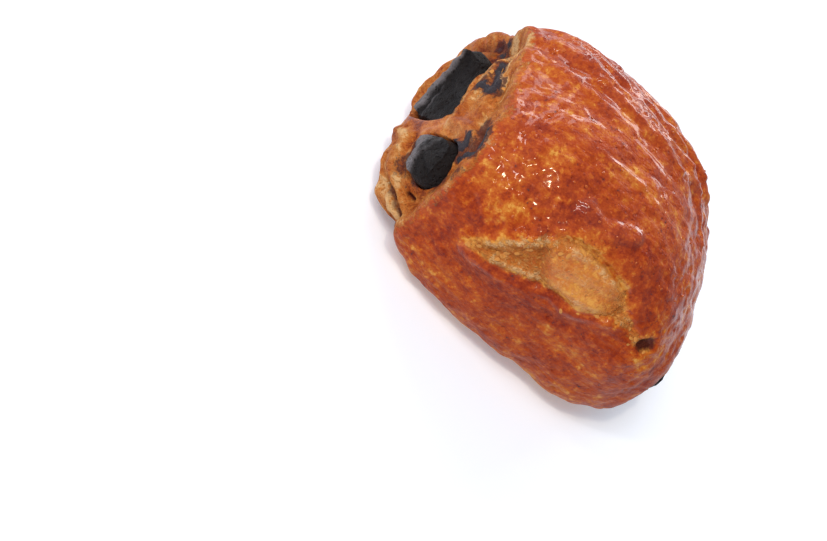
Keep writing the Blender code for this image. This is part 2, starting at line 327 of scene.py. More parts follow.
# A fold and glossy wrinkles of the crust, and its lighter and darker patches
FOLD = (Stroke(((-8.0, -17.6, 40.8), (-5.6, -18.8, 40.4), (-3.0, -19.0, 40.7),
                (0.1, -18.1, 41.8), (3.2, -16.5, 42.5)), 3.0),)
RIDGES = (
    Stroke(((-21.3, 20.6, 38.4), (-16.9, 14.1, 42.8), (-10.2, 11.9, 44.1), (-4.3, 12.8, 43.8),
            (0.6, 11.2, 43.8), (11.3, 10.9, 42.2)), 1.5),
    Stroke(((-16.2, 19.4, 40.3), (-9.8, 16.4, 42.2), (-5.8, 13.1, 43.7), (0.4, 7.2, 45.3),
            (8.1, 5.8, 43.9), (17.0, 9.6, 39.9)), 1.4),
    Stroke(((-16.6, 12.1, 42.7), (-13.8, 11.1, 43.6), (-10.0, 8.9, 44.6), (-6.4, 8.4, 45.2),
            (-3.5, 6.7, 45.3), (0.5, 7.0, 45.3), (4.7, 5.8, 44.8)), 1.3, 0.8),
    Stroke(((-11.7, 20.3, 40.8), (-6.5, 22.2, 39.1), (-3.0, 20.4, 40.4), (1.5, 20.1, 40.2),
            (8.5, 17.8, 40.2), (17.7, 15.1, 38.2)), 1.4),
    Stroke(((-6.4, 15.4, 43.3), (-1.7, 13.7, 43.9), (5.5, 13.6, 43.0), (10.6, 14.2, 41.6)), 1.3),
    Stroke(((7.2, 10.8, 42.9), (11.5, 8.9, 41.9), (16.4, 7.9, 40.0), (20.7, 4.5, 37.6),
            (23.1, 0.9, 36.7)), 1.4, 0.8),
    Stroke(((-20.0, 24.5, 35.0), (-12.0, 25.5, 34.8), (-3.0, 24.6, 36.2), (6.0, 23.4, 36.0)), 1.5),
    Stroke(((-11.9, -6.4, 44.1), (-8.6, -6.7, 44.5), (-5.3, -5.9, 44.6), (-2.8, -6.2, 44.5),
            (-0.1, -6.3, 44.7)), 1.3, 0.7),
)
GOLDEN = (
    Stroke(((-10.8, 0.6, 44.7),), 5.5, 0.7),
    Stroke(((2.0, -5.8, 44.8), (-4.3, -5.3, 44.6)), 3.6, 0.7),
    Stroke(((-8.2, 5.6, 45.0),), 3.6), Stroke(((-17.9, -12.1, 41.1),), 4.8),
    Stroke(((-15.1, -22.2, 35.8), (-20.7, -24.3, 30.7)), 4.0),
    Stroke(((22.0, -28.9, 28.7), (20.4, -26.5, 32.6)), 2.4, 0.8),
    Stroke(((24.0, -27.5, 26.8), (25.5, -26.3, 28.8)), 2.4, 0.8),
    Stroke(((3.8, -30.7, 19.9), (8.5, -30.8, 19.4), (14.8, -31.3, 19.0),
            (19.1, -31.5, 20.6)), 2.6, 0.7),
)
DARK = (
    Stroke(((-7.6, -17.4, 40.9),), 4.6, 0.4), Stroke(((-10.8, -22.2, 37.1),), 4.5),
    Stroke(((7.1, -19.8, 41.1),), 5.5), Stroke(((-15.1, -29.2, 17.1),), 6.0, 0.8),
    Stroke(((-7.1, -30.4, 22.1), (0.3, -29.6, 25.0)), 4.5, 0.8),
    Stroke(((12.0, -22.0, 38.0), (19.0, -20.0, 36.0)), 5.0, 0.7),
)

# Noise on the pastry; heights are in millimetres, those of blotches and crumbs shares of 1
SKIN = (Layer(3.4, 0.28, 11.0), Layer(1.7, 0.16, 12.0))
SHOULDER = (Layer(2.4, 0.34, 18.0, (4.0, 1.0, 1.0)),)
FAR_SIDE = (Layer(6.0, 0.35, 34.0, (2.0, 1.0, 1.0)),)
DOUGH = (Layer(2.4, 0.26, 14.0), Layer(1.3, 0.22, 17.0))
STREAKS = (Layer(1.3, 0.16, 27.0, (1.0, 5.0, 1.2)),)
TORN_LEAVES = (Layer(1.6, 0.42, 16.0, (3.5, 1.0, 0.8)), Layer(1.2, 0.20, 17.0))
RAGGED = (Layer(2.2, 0.70, 21.0), Layer(1.0, 0.40, 22.0))
BLOTCHES = (Layer(13.0, 0.50, 23.0), Layer(5.5, 0.45, 24.0, (1.5, 1.0, 1.0)),
            Layer(2.8, 0.30, 28.0))
CRUMBS = (Layer(3.2, 0.26, 29.0), Layer(1.5, 0.20, 30.0))

# Noise on the batons, in millimetres
BROKEN_END = (Layer(4.0, 0.60, 7.0), Layer(1.8, 0.35, 8.0), Layer(0.9, 0.20, 10.0))
BATON_SIDE = (Layer(2.0, 0.12, 9.0),)

# Strokes that stand out or lie in: height in millimetres, share of the raggedness
DRAWN = (
    (RIDGES, 0.60, 0.5), (FOLD, 0.95, 0.0), (LOWER_LIP, 0.32, 1.0), (SMEARS, 0.35, 0.6),
    (PALE_TORN, 0.30, 1.0), (CREVICE, -0.60, 1.0), (SLITS, -1.00, 0.0), (CAVITY, -0.90, 0.0),
    (HOLLOW, -0.90, 0.0), (BAND, -0.50, 1.0),
)


@dataclass(frozen=True)
class Roll:
    """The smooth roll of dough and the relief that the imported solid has.

    Slopes, spread, drop and lean say how the roll narrows, widens, sinks and leans from the
    shown end to the far one. Powers say how boxy its plan, crown and belly are.
    """

    length: float = 80.8 * MM
    width: float = 62.0 * MM
    height: float = 45.8 * MM
    underside: float = 0.8 * MM
    plan_power: float = 3.3
    crown_power: float = 2.35
    belly_power: float = 4.4
    waist: float = 0.41
    shown_slope: float = 0.156
    far_slope: float = 0.33
    spread: float = 0.029
    drop: float = 0.038
    lean: float = 4.7 * MM
    edge_inset: float = 9.7 * MM
    edge_step: float = 1.9 * MM
    edge_lip: float = 0.9 * MM
    edge_groove: float = 9.0 * MM
    edge_wave: float = 1.0 * MM
    notch_place: float = 21.0 * MM
    notch_reach: float = 11.0 * MM
    notch_depth: float = 1.5 * MM
    heel_height: float = 10.0 * MM
    heel_inset: float = 3.0 * MM
    layer_pitch: float = 4.6 * MM
    layer_depth: float = 0.55 * MM
    mouth_depth: float = 1.2 * MM
    mouth_reach: float = 2.6 * MM
    mouth_slope: float = 1.6 * MM
    mouth_slope_reach: float = 8.0 * MM
    core_across: float = -4.0 * MM
    core_up: float = 22.0 * MM
    crease_radius: float = 18.5 * MM
    crease_reach: float = 2.6 * MM
    crease_depth: float = 1.0 * MM
    tear_start: float = -23.0 * MM
    tear_end: float = 14.0 * MM
    tear_low: float = 22.0 * MM
    tear_rise: float = 13.0 * MM
    tear_half: float = 5.4 * MM
    tear_depth: float = 1.3 * MM
    tear_layers: float = 0.25
    tear_floor: float = 0.75
    tear_lip: float = 0.7 * MM
    tear_lip_place: float = 1.6 * MM
    tear_lip_reach: float = 3.2 * MM
    swell_size: float = 17.0 * MM
    swell_depth: float = 0.9 * MM
    blister_size: float = 7.0 * MM
    blister_depth: float = 0.45 * MM
    shoulder_place: float = 14.0 * MM
    shoulder_reach: float = 16.0 * MM
    wrinkle_lean: float = 0.35
    wrinkle_pitch: float = 7.5 * MM
    wrinkle_depth: float = 0.6 * MM
    seam_place: float = 9.0 * MM
    seam_width: float = 3.0 * MM
    seam_depth: float = 1.2 * MM

    def plain(self, corners: np.ndarray) -> np.ndarray:
        """The smooth roll.

        Args:
            corners: Points of a cube from -1 to 1.

        Returns:
            The points on the roll, in metres.
        """
        box = np.array((self.length, self.width, self.height)) / 2
        d = corners * box
        d /= np.linalg.norm(d, axis=1)[:, None]
        above = d[:, 2] > 0
        reach = np.where(above, self.height * (1 - self.waist), self.height * self.waist)
        power = np.where(above, self.crown_power, self.belly_power)
        plan = (np.abs(2 * d[:, 0] / self.length) ** self.plan_power
                + np.abs(2 * d[:, 1] / self.width) ** self.plan_power) ** (1 / self.plan_power)
        radius = (plan ** power + np.abs(d[:, 2] / reach) ** power) ** (-1 / power)
        p = d * radius[:, None]
        p[:, 2] += self.height * self.waist
        along = 2 * p[:, 0] / self.length
        p[:, 1] = p[:, 1] * (1 + self.spread * along) - self.lean * along * p[:, 2] / self.height
        p[:, 2] *= 1 - self.drop * along
        slope = np.where(p[:, 0] < 0, self.shown_slope, self.far_slope)
        p[:, 0] *= 1 - slope * p[:, 2] / self.height
        p[:, 2] -= self.underside
        return p

    def past_edge(self, p: np.ndarray) -> np.ndarray:
        """How far points lie past the crust's edge, towards their end of the roll.

        Args:
            p: Points of the plain form.

        Returns:
            The distance in metres, below 0 on the crust.
        """
        inset = self.edge_inset + self.edge_wave * grain(p, 9 * MM, 5.0)
        heel = (p[:, 0] < 0) & (p[:, 1] < 0)
        inset += heel * self.heel_inset * smooth(p[:, 2], self.heel_height, 2 * MM)
        return np.abs(p[:, 0]) - (self.length / 2 - inset)

    def crust_edge(self, p: np.ndarray) -> np.ndarray:
        """The crust's lip and the groove between it and the bare dough of the end.

        Args:
            p: Points of the plain form.

        Returns:
            Relief along the normal, in metres.
        """
        past = self.past_edge(p)
        down = smooth(past, 0.0, 2.2 * MM) - smooth(past, 3 * MM, self.edge_groove)
        notch = self.notch_depth * bump(p[:, 1] - self.notch_place, self.notch_reach)
        step = self.edge_step + notch * (p[:, 0] < 0)
        return self.edge_lip * bump(past + 0.5 * MM, 3 * MM) - step * down

    def end_rolls(self, p: np.ndarray) -> np.ndarray:
        """The swells and dents of the two ends."""
        return sum(height * MM * bump(near_line(p, ((x, y, z),)), reach * MM)
                   for x, y, z, reach, height in LUMPS)

    def outside_batons(self, p: np.ndarray) -> np.ndarray:
        """Distance of points of an end outside the nearest baton's section."""
        return np.min([baton.distance(p) for baton in BATONS], axis=0)

    def above_baton(self, p: np.ndarray) -> np.ndarray:
        """Whether points lie over the middle of their nearest baton.

        Args:
            p: Points of the plain form.

        Returns:
            0 below the baton's middle to 1 well above it.
        """
        nearest = np.argmin([baton.distance(p) for baton in BATONS], axis=0)
        middle = np.choose(nearest, [baton.section(p[:, 0])[1] for baton in BATONS])
        return smooth(p[:, 2] - middle, -2 * MM, 6 * MM)

    def rings(self, p: np.ndarray) -> np.ndarray:
        """Rings of dough round the batons and the mouths that the batons lie in.

        Args:
            p: Points of the plain form.

        Returns:
            Relief along the normal, in metres.
        """
        bare = smooth(self.past_edge(p), 0.0, 3 * MM)
        outside = self.outside_batons(p)
        ripple = grain(p, 8 * MM, 3.0) * 1.5 * MM
        rings = np.cos(2 * math.pi * (outside + ripple) / self.layer_pitch)
        mouth = 1 - smooth(outside, -1 * MM, self.mouth_reach)
        slope = self.above_baton(p) * (1 - smooth(outside, 0.0, self.mouth_slope_reach))
        depth = self.layer_depth * smooth(p[:, 2], 2.5 * MM, 8 * MM)
        return bare * (depth * rings * (1 - mouth) - self.mouth_depth * mouth
                       - self.mouth_slope * slope)

    def leaves(self, p: np.ndarray) -> np.ndarray:
        """Fine torn layers that run round the batons, about -1 to 1."""
        across = self.outside_batons(p) + 0.5 * MM * grain(p, 5 * MM, 35.0)
        return grain(np.stack((across, p[:, 1] / 6, p[:, 2] / 6), axis=1), 1.3 * MM, 36.0)

    def outer_turn(self, p: np.ndarray) -> np.ndarray:
        """Crease where the outer turn of dough folds round the core, at the shown end.

        Args:
            p: Points of the plain form.

        Returns:
            Relief along the normal, in metres.
        """
        from_core = np.hypot(p[:, 1] - self.core_across, p[:, 2] - self.core_up)
        low = 1 - smooth(p[:, 2], 12 * MM, 18 * MM)
        end = smooth(-p[:, 0], 26 * MM, 32 * MM)
        crease = bump(from_core - self.crease_radius, self.crease_reach)
        return -self.crease_depth * low * end * crease

    def tear_place(self, p: np.ndarray) -> tuple:
        """Where points lie on the tear.

        Args:
            p: Points of the roll.

        Returns:
            Height above the tear's middle line, its half width there, how far the point is
            outside it, and how present it is, from 0 to 1.
        """
        share = np.clip((p[:, 0] - self.tear_start) / (self.tear_end - self.tear_start), 0, 1)
        middle = self.tear_low + self.tear_rise * (1 - (1 - share) ** 1.8)
        half = self.tear_half * np.sin(math.pi * share) ** 0.7
        across = p[:, 2] - middle
        present = smooth(half, 0.0, 4 * MM) * (p[:, 1] < -0.2 * self.width)
        return across, half, np.abs(across) - half, present

    def tear(self, p: np.ndarray) -> np.ndarray:
        """The torn band along the side, with its layers and raised lips.

        Args:
            p: Points of the plain form.

        Returns:
            Relief along the normal, in metres.
        """
        across, half, outside, present = self.tear_place(p)
        trough = 1 - smooth(outside, -2.6 * MM, 0.6 * MM)
        layers = self.tear_layers * np.cos(2 * math.pi * across / np.maximum(half, 0.1 * MM))
        lip = self.tear_lip * bump(outside - self.tear_lip_place, self.tear_lip_reach)
        return present * (lip - self.tear_depth * trough * (self.tear_floor + layers))

    def waves(self, p: np.ndarray) -> np.ndarray:
        """Swellings and blisters all over, and wrinkles along the top's far shoulder.

        Args:
            p: Points of the plain form.

        Returns:
            Relief along the normal, in metres.
        """
        swell = self.swell_depth * grain(p, self.swell_size, 1.0)
        blister = self.blister_depth * grain(p, self.blister_size, 2.0)
        shoulder = bump(p[:, 1] - self.shoulder_place, self.shoulder_reach)
        shoulder *= smooth(p[:, 2], 30 * MM, 38 * MM)
        bend = p[:, 1] + self.wrinkle_lean * p[:, 0] + 3 * MM * grain(p, 14 * MM, 4.0)
        wrinkle = self.wrinkle_depth * shoulder * np.cos(2 * math.pi * bend / self.wrinkle_pitch)
        return swell + blister + wrinkle

    def seam(self, p: np.ndarray) -> np.ndarray:
        """The closing seam of the roll, along its underside."""
        under = 1 - smooth(p[:, 2], 0.5 * MM, 3 * MM)
        return -self.seam_depth * under * bump(p[:, 1] - self.seam_place, self.seam_width)

    def relief(self, p: np.ndarray) -> np.ndarray:
        """All that stands out of the plain form or lies under it, along the normal."""
        return (self.crust_edge(p) + self.end_rolls(p) + self.rings(p) + self.outer_turn(p)
                + self.tear(p) + self.waves(p) + self.seam(p))


# Node trees as Python expressions

class Graph:
    """A node tree, with one method that adds any node."""

    def __init__(self, tree: bpy.types.NodeTree) -> None:
        """Keep the tree that the nodes go in."""
        self.tree = tree

    def node(self, kind: str, settings: dict | None = None,
             values: dict | None = None) -> bpy.types.Node:
        """Add a node.

        Args:
            kind: The node's type name.
            settings: Attributes of the node, set first. A ramp's stops come as "stops".
            values: Socket name or number to a value, or to a Signal or socket to link.

        Returns:
            The new node.
        """
        made = self.tree.nodes.new(kind)
        for name, value in (settings or {}).items():
            if name == "stops":
                self.set_stops(made.color_ramp, value)
            else:
                setattr(made, name, value)
        for name, value in (values or {}).items():
            self.feed(made.inputs[name], value)
        return made

    def feed(self, socket: bpy.types.NodeSocket, value: object) -> None:
        """Link a Signal or a socket into a socket, or set its value.

        Args:
            socket: The input.
            value: What goes into it.
        """
        if isinstance(value, Signal):
            self.tree.links.new(value.socket, socket)
        elif isinstance(value, bpy.types.NodeSocket):
            self.tree.links.new(value, socket)
        else:
            socket.default_value = value

    @staticmethod
    def set_stops(ramp: bpy.types.ColorRamp, stops: tuple) -> None:
        """Give a colour ramp its stops.

        Args:
            ramp: The ramp, with its first two stops.
            stops: A place and a colour for each stop.
        """
        while len(ramp.elements) < len(stops):
            ramp.elements.new(1.0)
        for element, (place, colour) in zip(ramp.elements, stops):
            element.position = place
            element.color = (*colour, 1.0)

    def signal(self, node: bpy.types.Node, output: int | str = 0) -> "Signal":
        """An output of a node as a Signal."""
        return Signal(self, node.outputs[output])

    def attribute(self, name: str) -> "Signal":
        """A value stored on the mesh's points."""
        return self.signal(self.node("ShaderNodeAttribute", {"attribute_name": name}), "Fac")

    def noise(self, size: float, detail: float = 3.0, rough: float = 0.55,
              place: bpy.types.NodeSocket | None = None, warp: float = 0.0) -> "Signal":
        """Noise on the piece.

        Args:
            size: Feature size in metres.
            detail: How many finer layers.
            rough: How strong the finer layers are.
            place: Stretched coordinates, or None for Object coordinates.
            warp: How far the pattern is distorted.

        Returns:
            A value from about 0 to 1.
        """
        place = place or self.stretched((1.0, 1.0, 1.0))
        made = self.node("ShaderNodeTexNoise", {}, {
            "Vector": place, "Scale": 1 / size, "Detail": detail, "Roughness": rough,
            "Distortion": warp})
        return self.signal(made)

    def pits(self, size: float, start: float, end: float) -> "Signal":
        """Small scattered spots, 1 in a spot's middle and 0 between spots.

        Args:
            size: How far apart the spots are, in metres.
            start: Radius of a spot's core, in spacings.
            end: Radius at which it has faded out, in spacings.

        Returns:
            A value from 0 to 1.
        """
        made = self.node("ShaderNodeTexVoronoi", {}, {
            "Vector": self.stretched((1.0, 1.0, 1.0)), "Scale": 1 / size})
        return 1 - self.signal(made, "Distance").step(start, end)

    def stretched(self, scale: tuple) -> bpy.types.NodeSocket:
        """Object coordinates scaled along each axis.

        Args:
            scale: A factor for each axis, below 1 for longer features.

        Returns:
            The coordinates' socket.
        """
        coords = self.node("ShaderNodeTexCoord").outputs["Object"]
        if scale == (1.0, 1.0, 1.0):
            return coords
        return self.node("ShaderNodeMapping", {}, {"Vector": coords, "Scale": scale}).outputs[0]

    def ramp(self, value: "Signal", stops: tuple) -> bpy.types.NodeSocket:
        """A colour read from a ramp."""
        made = self.node("ShaderNodeValToRGB", {"stops": stops}, {"Fac": value})
        return made.outputs["Color"]

    def blend(self, share: object, low: object, high: object) -> bpy.types.NodeSocket:
        """Mix two colours.

        Args:
            share: A number or a Signal, 0 for the low colour.
            low: A colour or its socket.
            high: A colour or its socket.

        Returns:
            The mixed colour's socket.
        """
        low = (*low, 1.0) if isinstance(low, tuple) else low
        high = (*high, 1.0) if isinstance(high, tuple) else high
        made = self.node("ShaderNodeMix", {"data_type": "RGBA"}, {0: share, 6: low, 7: high})
        return made.outputs[2]


class Signal:
    """A number on a node tree, for use in Python sums, products and steps."""

    def __init__(self, graph: Graph, socket: bpy.types.NodeSocket) -> None:
        """Keep the graph and the socket that gives the number."""
        self.graph = graph
        self.socket = socket

    def math(self, operation: str, first: object, second: object = 0.0) -> "Signal":
        """A Math node on two values."""
        made = self.graph.node("ShaderNodeMath", {"operation": operation}, {0: first, 1: second})
        return Signal(self.graph, made.outputs[0])

    def __add__(self, other: object) -> "Signal":
        """Self plus other."""
        return self.math("ADD", self, other)

    __radd__ = __add__

    def __sub__(self, other: object) -> "Signal":
        """Self minus other."""
        return self.math("SUBTRACT", self, other)

    def __rsub__(self, other: object) -> "Signal":
        """Other minus self."""
        return self.math("SUBTRACT", other, self)

    def __mul__(self, other: object) -> "Signal":
        """Self times other."""
        return self.math("MULTIPLY", self, other)

    __rmul__ = __mul__

    def clamp(self) -> "Signal":
        """Held between 0 and 1."""
        made = self.graph.node("ShaderNodeClamp", {}, {"Value": self})
        return Signal(self.graph, made.outputs[0])

    def step(self, start: float, end: float) -> "Signal":
        """Ease from 0 at start to 1 at end."""
        made = self.graph.node("ShaderNodeMapRange", {"interpolation_type": "SMOOTHSTEP"},
                               {"Value": self, "From Min": start, "From Max": end})
        return Signal(self.graph, made.outputs[0])


def new_material(name: str) -> tuple[bpy.types.Material, Graph, bpy.types.Node]:
    """Add a material.

    Args:
        name: The finish it is for.

    Returns:
        The material, its graph and its Principled shader.
    """
    material = bpy.data.materials.new(name)
    material.use_nodes = True
    graph = Graph(material.node_tree)
    return material, graph, material.node_tree.nodes["Principled BSDF"]


# Finishes

@dataclass
class Patterns:
    """Noise that a crust's colour, gloss and relief share, the first three around 0."""

    mottle: Signal
    speck: Signal
    fine: Signal
    pores: Signal
    layers: Signal


@dataclass(frozen=True)
class CrustFinish:
    """Glazed crust that goes over to pale torn layers, bare dough and chocolate stains."""

    name: str = "glazed_crust"
    coat: float = 0.70
    coat_roughness: float = 0.10
    coat_ior: float = 1.45
    specular: float = 0.14
    baked: tuple = (
        (0.00, (0.68, 0.31, 0.060)),
        (0.18, (0.58, 0.200, 0.026)),
        (0.38, (0.48, 0.104, 0.010)),
        (0.62, (0.385, 0.052, 0.005)),
        (1.00, (0.22, 0.018, 0.003)),
    )
    dough: tuple = (
        (0.00, (0.20, 0.030, 0.007)),
        (0.25, (0.40, 0.085, 0.012)),
        (0.50, (0.54, 0.155, 0.028)),
        (0.78, (0.64, 0.250, 0.062)),
        (1.00, (0.80, 0.46, 0.20)),
    )
    stain: tuple = (0.075, 0.016, 0.020)
    chocolate: tuple = (0.042, 0.034, 0.042)
    # Colour of the painted shade in slits, crevices, the cavity and the small hole
    crevice_shade: tuple = (0.085, 0.012, 0.008)
    mottle_size: float = 2.6 * MM
    speck_size: float = 0.9 * MM
    fine_size: float = 0.30 * MM
    layer_size: float = 0.8 * MM
    streak_size: float = 1.5 * MM
    wrinkle_size: float = 1.6 * MM
    glaze_patch: float = 5.0 * MM
    pore_spacing: float = 1.15 * MM
    hole_spacing: float = 0.8 * MM
    relief: float = 0.55 * MM

    def patterns(self, g: Graph) -> Patterns:
        """The patterns that the colour, the gloss and the relief share."""
        mottle = g.noise(self.mottle_size, 4.0, 0.62) - 0.5
        return Patterns(
            mottle=mottle,
            speck=g.noise(self.speck_size, 3.0, 0.6) - 0.5,
            fine=g.noise(self.fine_size, 2.0, 0.5) - 0.5,
            pores=g.pits(self.pore_spacing, 0.10, 0.34) * (mottle + 0.15).step(0.0, 0.3),
            layers=g.noise(self.layer_size, 4.0, 0.65, g.stretched((0.4, 1.0, 1.3)), 0.8))

    def browned(self, g: Graph, made: Patterns) -> bpy.types.NodeSocket:
        """The colour of the crust.

        Args:
            g: The material's graph.
            made: Its patterns.

        Returns:
            The colour's socket.
        """
        streaky = g.noise(self.streak_size, 3.0, 0.6, g.stretched((0.45, 1.0, 1.0)), 0.7) - 0.5
        flecks = g.noise(self.streak_size, 3.0, 0.65).step(0.50, 0.66)
        level = (g.attribute("brown") + made.mottle * 0.95 + (streaky + made.speck) * 0.7
                 + made.fine * 0.3 + made.pores * 0.12 - flecks * 0.26)
        return g.ramp(level.clamp(), self.baked)

    def bare(self, g: Graph, made: Patterns, gloss: Signal) -> bpy.types.NodeSocket:
        """The colour of bare and torn dough.

        Args:
            g: The material's graph.
            made: Its patterns.
            gloss: Where the dough is smooth, which evens the colour.

        Returns:
            The colour's socket.
        """
        uneven = (made.mottle * 0.6 + made.speck * 0.7 + made.fine * 0.4
                  + (made.layers - 0.5) * 1.1)
        pale = g.attribute("pale") + uneven * (1 - gloss * 0.7)
        return g.ramp(pale.clamp(), self.dough)

    def height(self, g: Graph, made: Patterns, dull: Signal) -> Signal:
        """The finest relief: fine wrinkles on the crust, crumb on the dough.

        Args:
            g: The material's graph.
            made: Its patterns.
            dull: Where the dough is bare and rough.

        Returns:
            The height, for a Bump node.
        """
        wrinkles = g.noise(self.wrinkle_size, 3.0, 0.6, g.stretched((0.28, 1.0, 1.0)), 0.6)
        skin = (g.noise(1.1 * MM, 3.0, 0.6) * 0.55 + wrinkles * 0.7 - made.pores * 0.35
                + made.fine * 0.12)
        holes = g.pits(self.hole_spacing, 0.05, 0.30)
        crumb = made.layers * 1.5 + made.speck * 1.2 + made.fine * 0.55 - holes * 0.5
        return skin * (1 - dull) + crumb * 1.5 * dull

    def material(self) -> bpy.types.Material:
        """Build the material from the attributes that the pastry's mesh carries.

        Returns:
            The crust's material.
        """
        material, g, shader = new_material(self.name)
        made = self.patterns(g)
        mottle, speck, fine = made.mottle, made.speck, made.fine
        gloss, shade = g.attribute("gloss"), g.attribute("shade")
        torn = (g.attribute("open") + (mottle + speck) * 0.9 + fine * 0.3).step(0.25, 0.75)
        stained = (g.attribute("stain") + (mottle + speck) * 1.5
                   + (made.layers - 0.5) * 0.9).step(0.30, 0.85)
        smeared = (g.attribute("smear") + speck * 1.5 + mottle + fine * 0.5).step(0.30, 0.60)
        # Painted shade: slits, crevices, the cavity, the hole and a line under the tear's upper edge
        # are darkened
        painted_shade_share = (shade + (speck + mottle) * 0.9 * shade).step(0.1, 0.9)

        colour = g.blend(torn, self.browned(g, made), self.bare(g, made, gloss))
        colour = g.blend(stained * 0.85, colour, self.stain)
        colour = g.blend(smeared, colour, self.chocolate)
        g.feed(shader.inputs["Base Color"], g.blend(painted_shade_share * 0.97, colour, self.crevice_shade))

        dull = torn * (1 - gloss)
        rough = 0.46 + mottle * 0.2 + dull * 0.2 - gloss * 0.16 + smeared * 0.05
        g.feed(shader.inputs["Roughness"], rough)
        patchy = g.noise(self.glaze_patch, 2.0, 0.5).step(0.35, 0.65) * 0.6 + 0.4
        coat = ((patchy * g.attribute("glaze") + gloss * 0.9) * (1 - dull * 0.9)
                * (1 - smeared * 0.6) * (1 - stained * 0.5))
        g.feed(shader.inputs["Coat Weight"], (coat * self.coat).clamp())
        shader.inputs["Specular IOR Level"].default_value = self.specular
        shader.inputs["Coat Roughness"].default_value = self.coat_roughness
        shader.inputs["Coat IOR"].default_value = self.coat_ior
        bumped = g.node("ShaderNodeBump", {}, {
            "Height": self.height(g, made, dull), "Strength": 0.85, "Distance": self.relief})
        g.feed(shader.inputs["Normal"], bumped.outputs[0])
        return material


@dataclass(frozen=True)
class ChocolateFinish:
    """Dark baked chocolate, dull and pitted, with paler edges: waxy bloom and painted sheen."""

    name: str = "baked_chocolate"
    dark: tuple = (0.0060, 0.0034, 0.0036)
    # Pale bloom, which also stands for painted sheen
    bloom_and_sheen: tuple = (0.200, 0.178, 0.190)
    specular: float = 0.26

    def material(self) -> bpy.types.Material:
        """Build the material; the mesh's edge attribute says where the pale bloom and the painted
        sheen lie.

        Returns:
            The chocolate's material.
        """
        material, g, shader = new_material(self.name)
        edge, spot = g.attribute("edge"), g.attribute("spot")
        patch = g.noise(2.4 * MM, 4.0, 0.6)
        fine = g.noise(0.50 * MM, 4.0, 0.7)
        grainy = g.noise(0.9 * MM, 3.0, 0.6, g.stretched((1.0, 0.5, 1.0)), 0.5)
        holes = g.pits(0.9 * MM, 0.08, 0.32)
        # Paler where the edge mask is high: waxy bloom and painted sheen
        share = edge * 0.8 + (patch - 0.5) * 0.45 + (fine - 0.5) * 0.6 - holes * 0.2
        colour = g.blend(share.step(0.12, 1.1), self.dark, self.bloom_and_sheen)
        g.feed(shader.inputs["Base Color"], colour)
        g.feed(shader.inputs["Roughness"],
               (0.50 - edge * 0.10 - spot * 0.26 + (fine - 0.5) * 0.3).clamp())
        shader.inputs["Specular IOR Level"].default_value = self.specular
        bumped = g.node("ShaderNodeBump", {}, {
            "Height": fine * 0.7 + grainy * 0.9 + patch * 0.6 - holes * 0.6,
            "Strength": 0.85, "Distance": 0.6 * MM})
        g.feed(shader.inputs["Normal"], bumped.outputs[0])
        return material


@dataclass(frozen=True)
class PlainFinish:
    """One even colour, for the floor and for what is strewn on the crust."""

    name: str
    colour: tuple
    roughness: float = 0.9
    specular: float = 0.0
    glow: float = 0.0

    def material(self) -> bpy.types.Material:
        """Build the material.

        Returns:
            The material of one even colour.
        """
        material, _, shader = new_material(self.name)
        shader.inputs["Base Color"].default_value = (*self.colour, 1.0)
        shader.inputs["Roughness"].default_value = self.roughness
        shader.inputs["Specular IOR Level"].default_value = self.specular
        shader.inputs["Emission Color"].default_value = (*self.colour, 1.0)
        shader.inputs["Emission Strength"].default_value = self.glow
        return material


# Meshes

def grid_cube(count: int) -> bmesh.types.BMesh:
    """A cube from -1 to 1 in cells.

    Args:
        count: Cells along each edge.

    Returns:
        The mesh, which the caller frees.
    """
    mesh = bmesh.new()
    bmesh.ops.create_cube(mesh, size=2.0)
    bmesh.ops.subdivide_edges(mesh, edges=mesh.edges[:], cuts=count - 1, use_grid_fill=True)
    return mesh


def fine_cube(name: str, count: int, levels: int) -> bpy.types.Object:
    """A grid cube, cut finer by a simple subdivision, as a plain mesh object.

    Args:
        name: The object's name.
        count: Cells along each edge before the subdivision.
        levels: How often each cell is halved.

    Returns:
        The object, linked to the scene.
    """
    mesh = grid_cube(count)
    data = bpy.data.meshes.new(name)
    mesh.to_mesh(data)
    mesh.free()
    piece = bpy.data.objects.new(name, data)
    bpy.context.scene.collection.objects.link(piece)
    finer = piece.modifiers.new("finer", "SUBSURF")
    finer.subdivision_type = "SIMPLE"
    finer.levels = finer.render_levels = levels
    settle(piece)
    return piece


def settle(piece: bpy.types.Object) -> None:
    """Make the evaluated mesh the piece's own and remove its modifiers.

    Args:
        piece: The object.
    """
    graph = bpy.context.evaluated_depsgraph_get()
    made = bpy.data.meshes.new_from_object(piece.evaluated_get(graph))
    old = piece.data
    piece.modifiers.clear()
    piece.data = made
    made.name = piece.name
    bpy.data.meshes.remove(old)


def places(mesh: bpy.types.Mesh) -> np.ndarray:
    """The points of a mesh.

    Args:
        mesh: The mesh.

    Returns:
        One row a point, in metres.
    """
    flat = np.empty(len(mesh.vertices) * 3)
    mesh.vertices.foreach_get("co", flat)
    return flat.reshape(-1, 3)


def set_places(mesh: bpy.types.Mesh, points: np.ndarray) -> None:
    """Move the points of a mesh."""
    mesh.vertices.foreach_set("co", points.ravel())
    mesh.update()


def normals(mesh: bpy.types.Mesh) -> np.ndarray:
    """The point normals of a mesh.

    Args:
        mesh: The mesh.

    Returns:
        One row a point, of length 1.
    """
    flat = np.empty(len(mesh.vertices) * 3)
    mesh.vertex_normals.foreach_get("vector", flat)
    return flat.reshape(-1, 3)


def store(mesh: bpy.types.Mesh, name: str, values: np.ndarray) -> None:
    """Keep one number a point on a mesh, for its material."""
    made = mesh.attributes.new(name, "FLOAT", "POINT")
    made.data.foreach_set("value", np.asarray(values, np.float32))


def dress(piece: bpy.types.Object, material: bpy.types.Material) -> None:
    """Shade a piece smooth and give it its one material.

    Args:
        piece: The piece.
        material: Its finish.
    """
    piece.data.shade_smooth()
    piece.data.materials.clear()
    piece.data.materials.append(material)


# Sub-assemblies

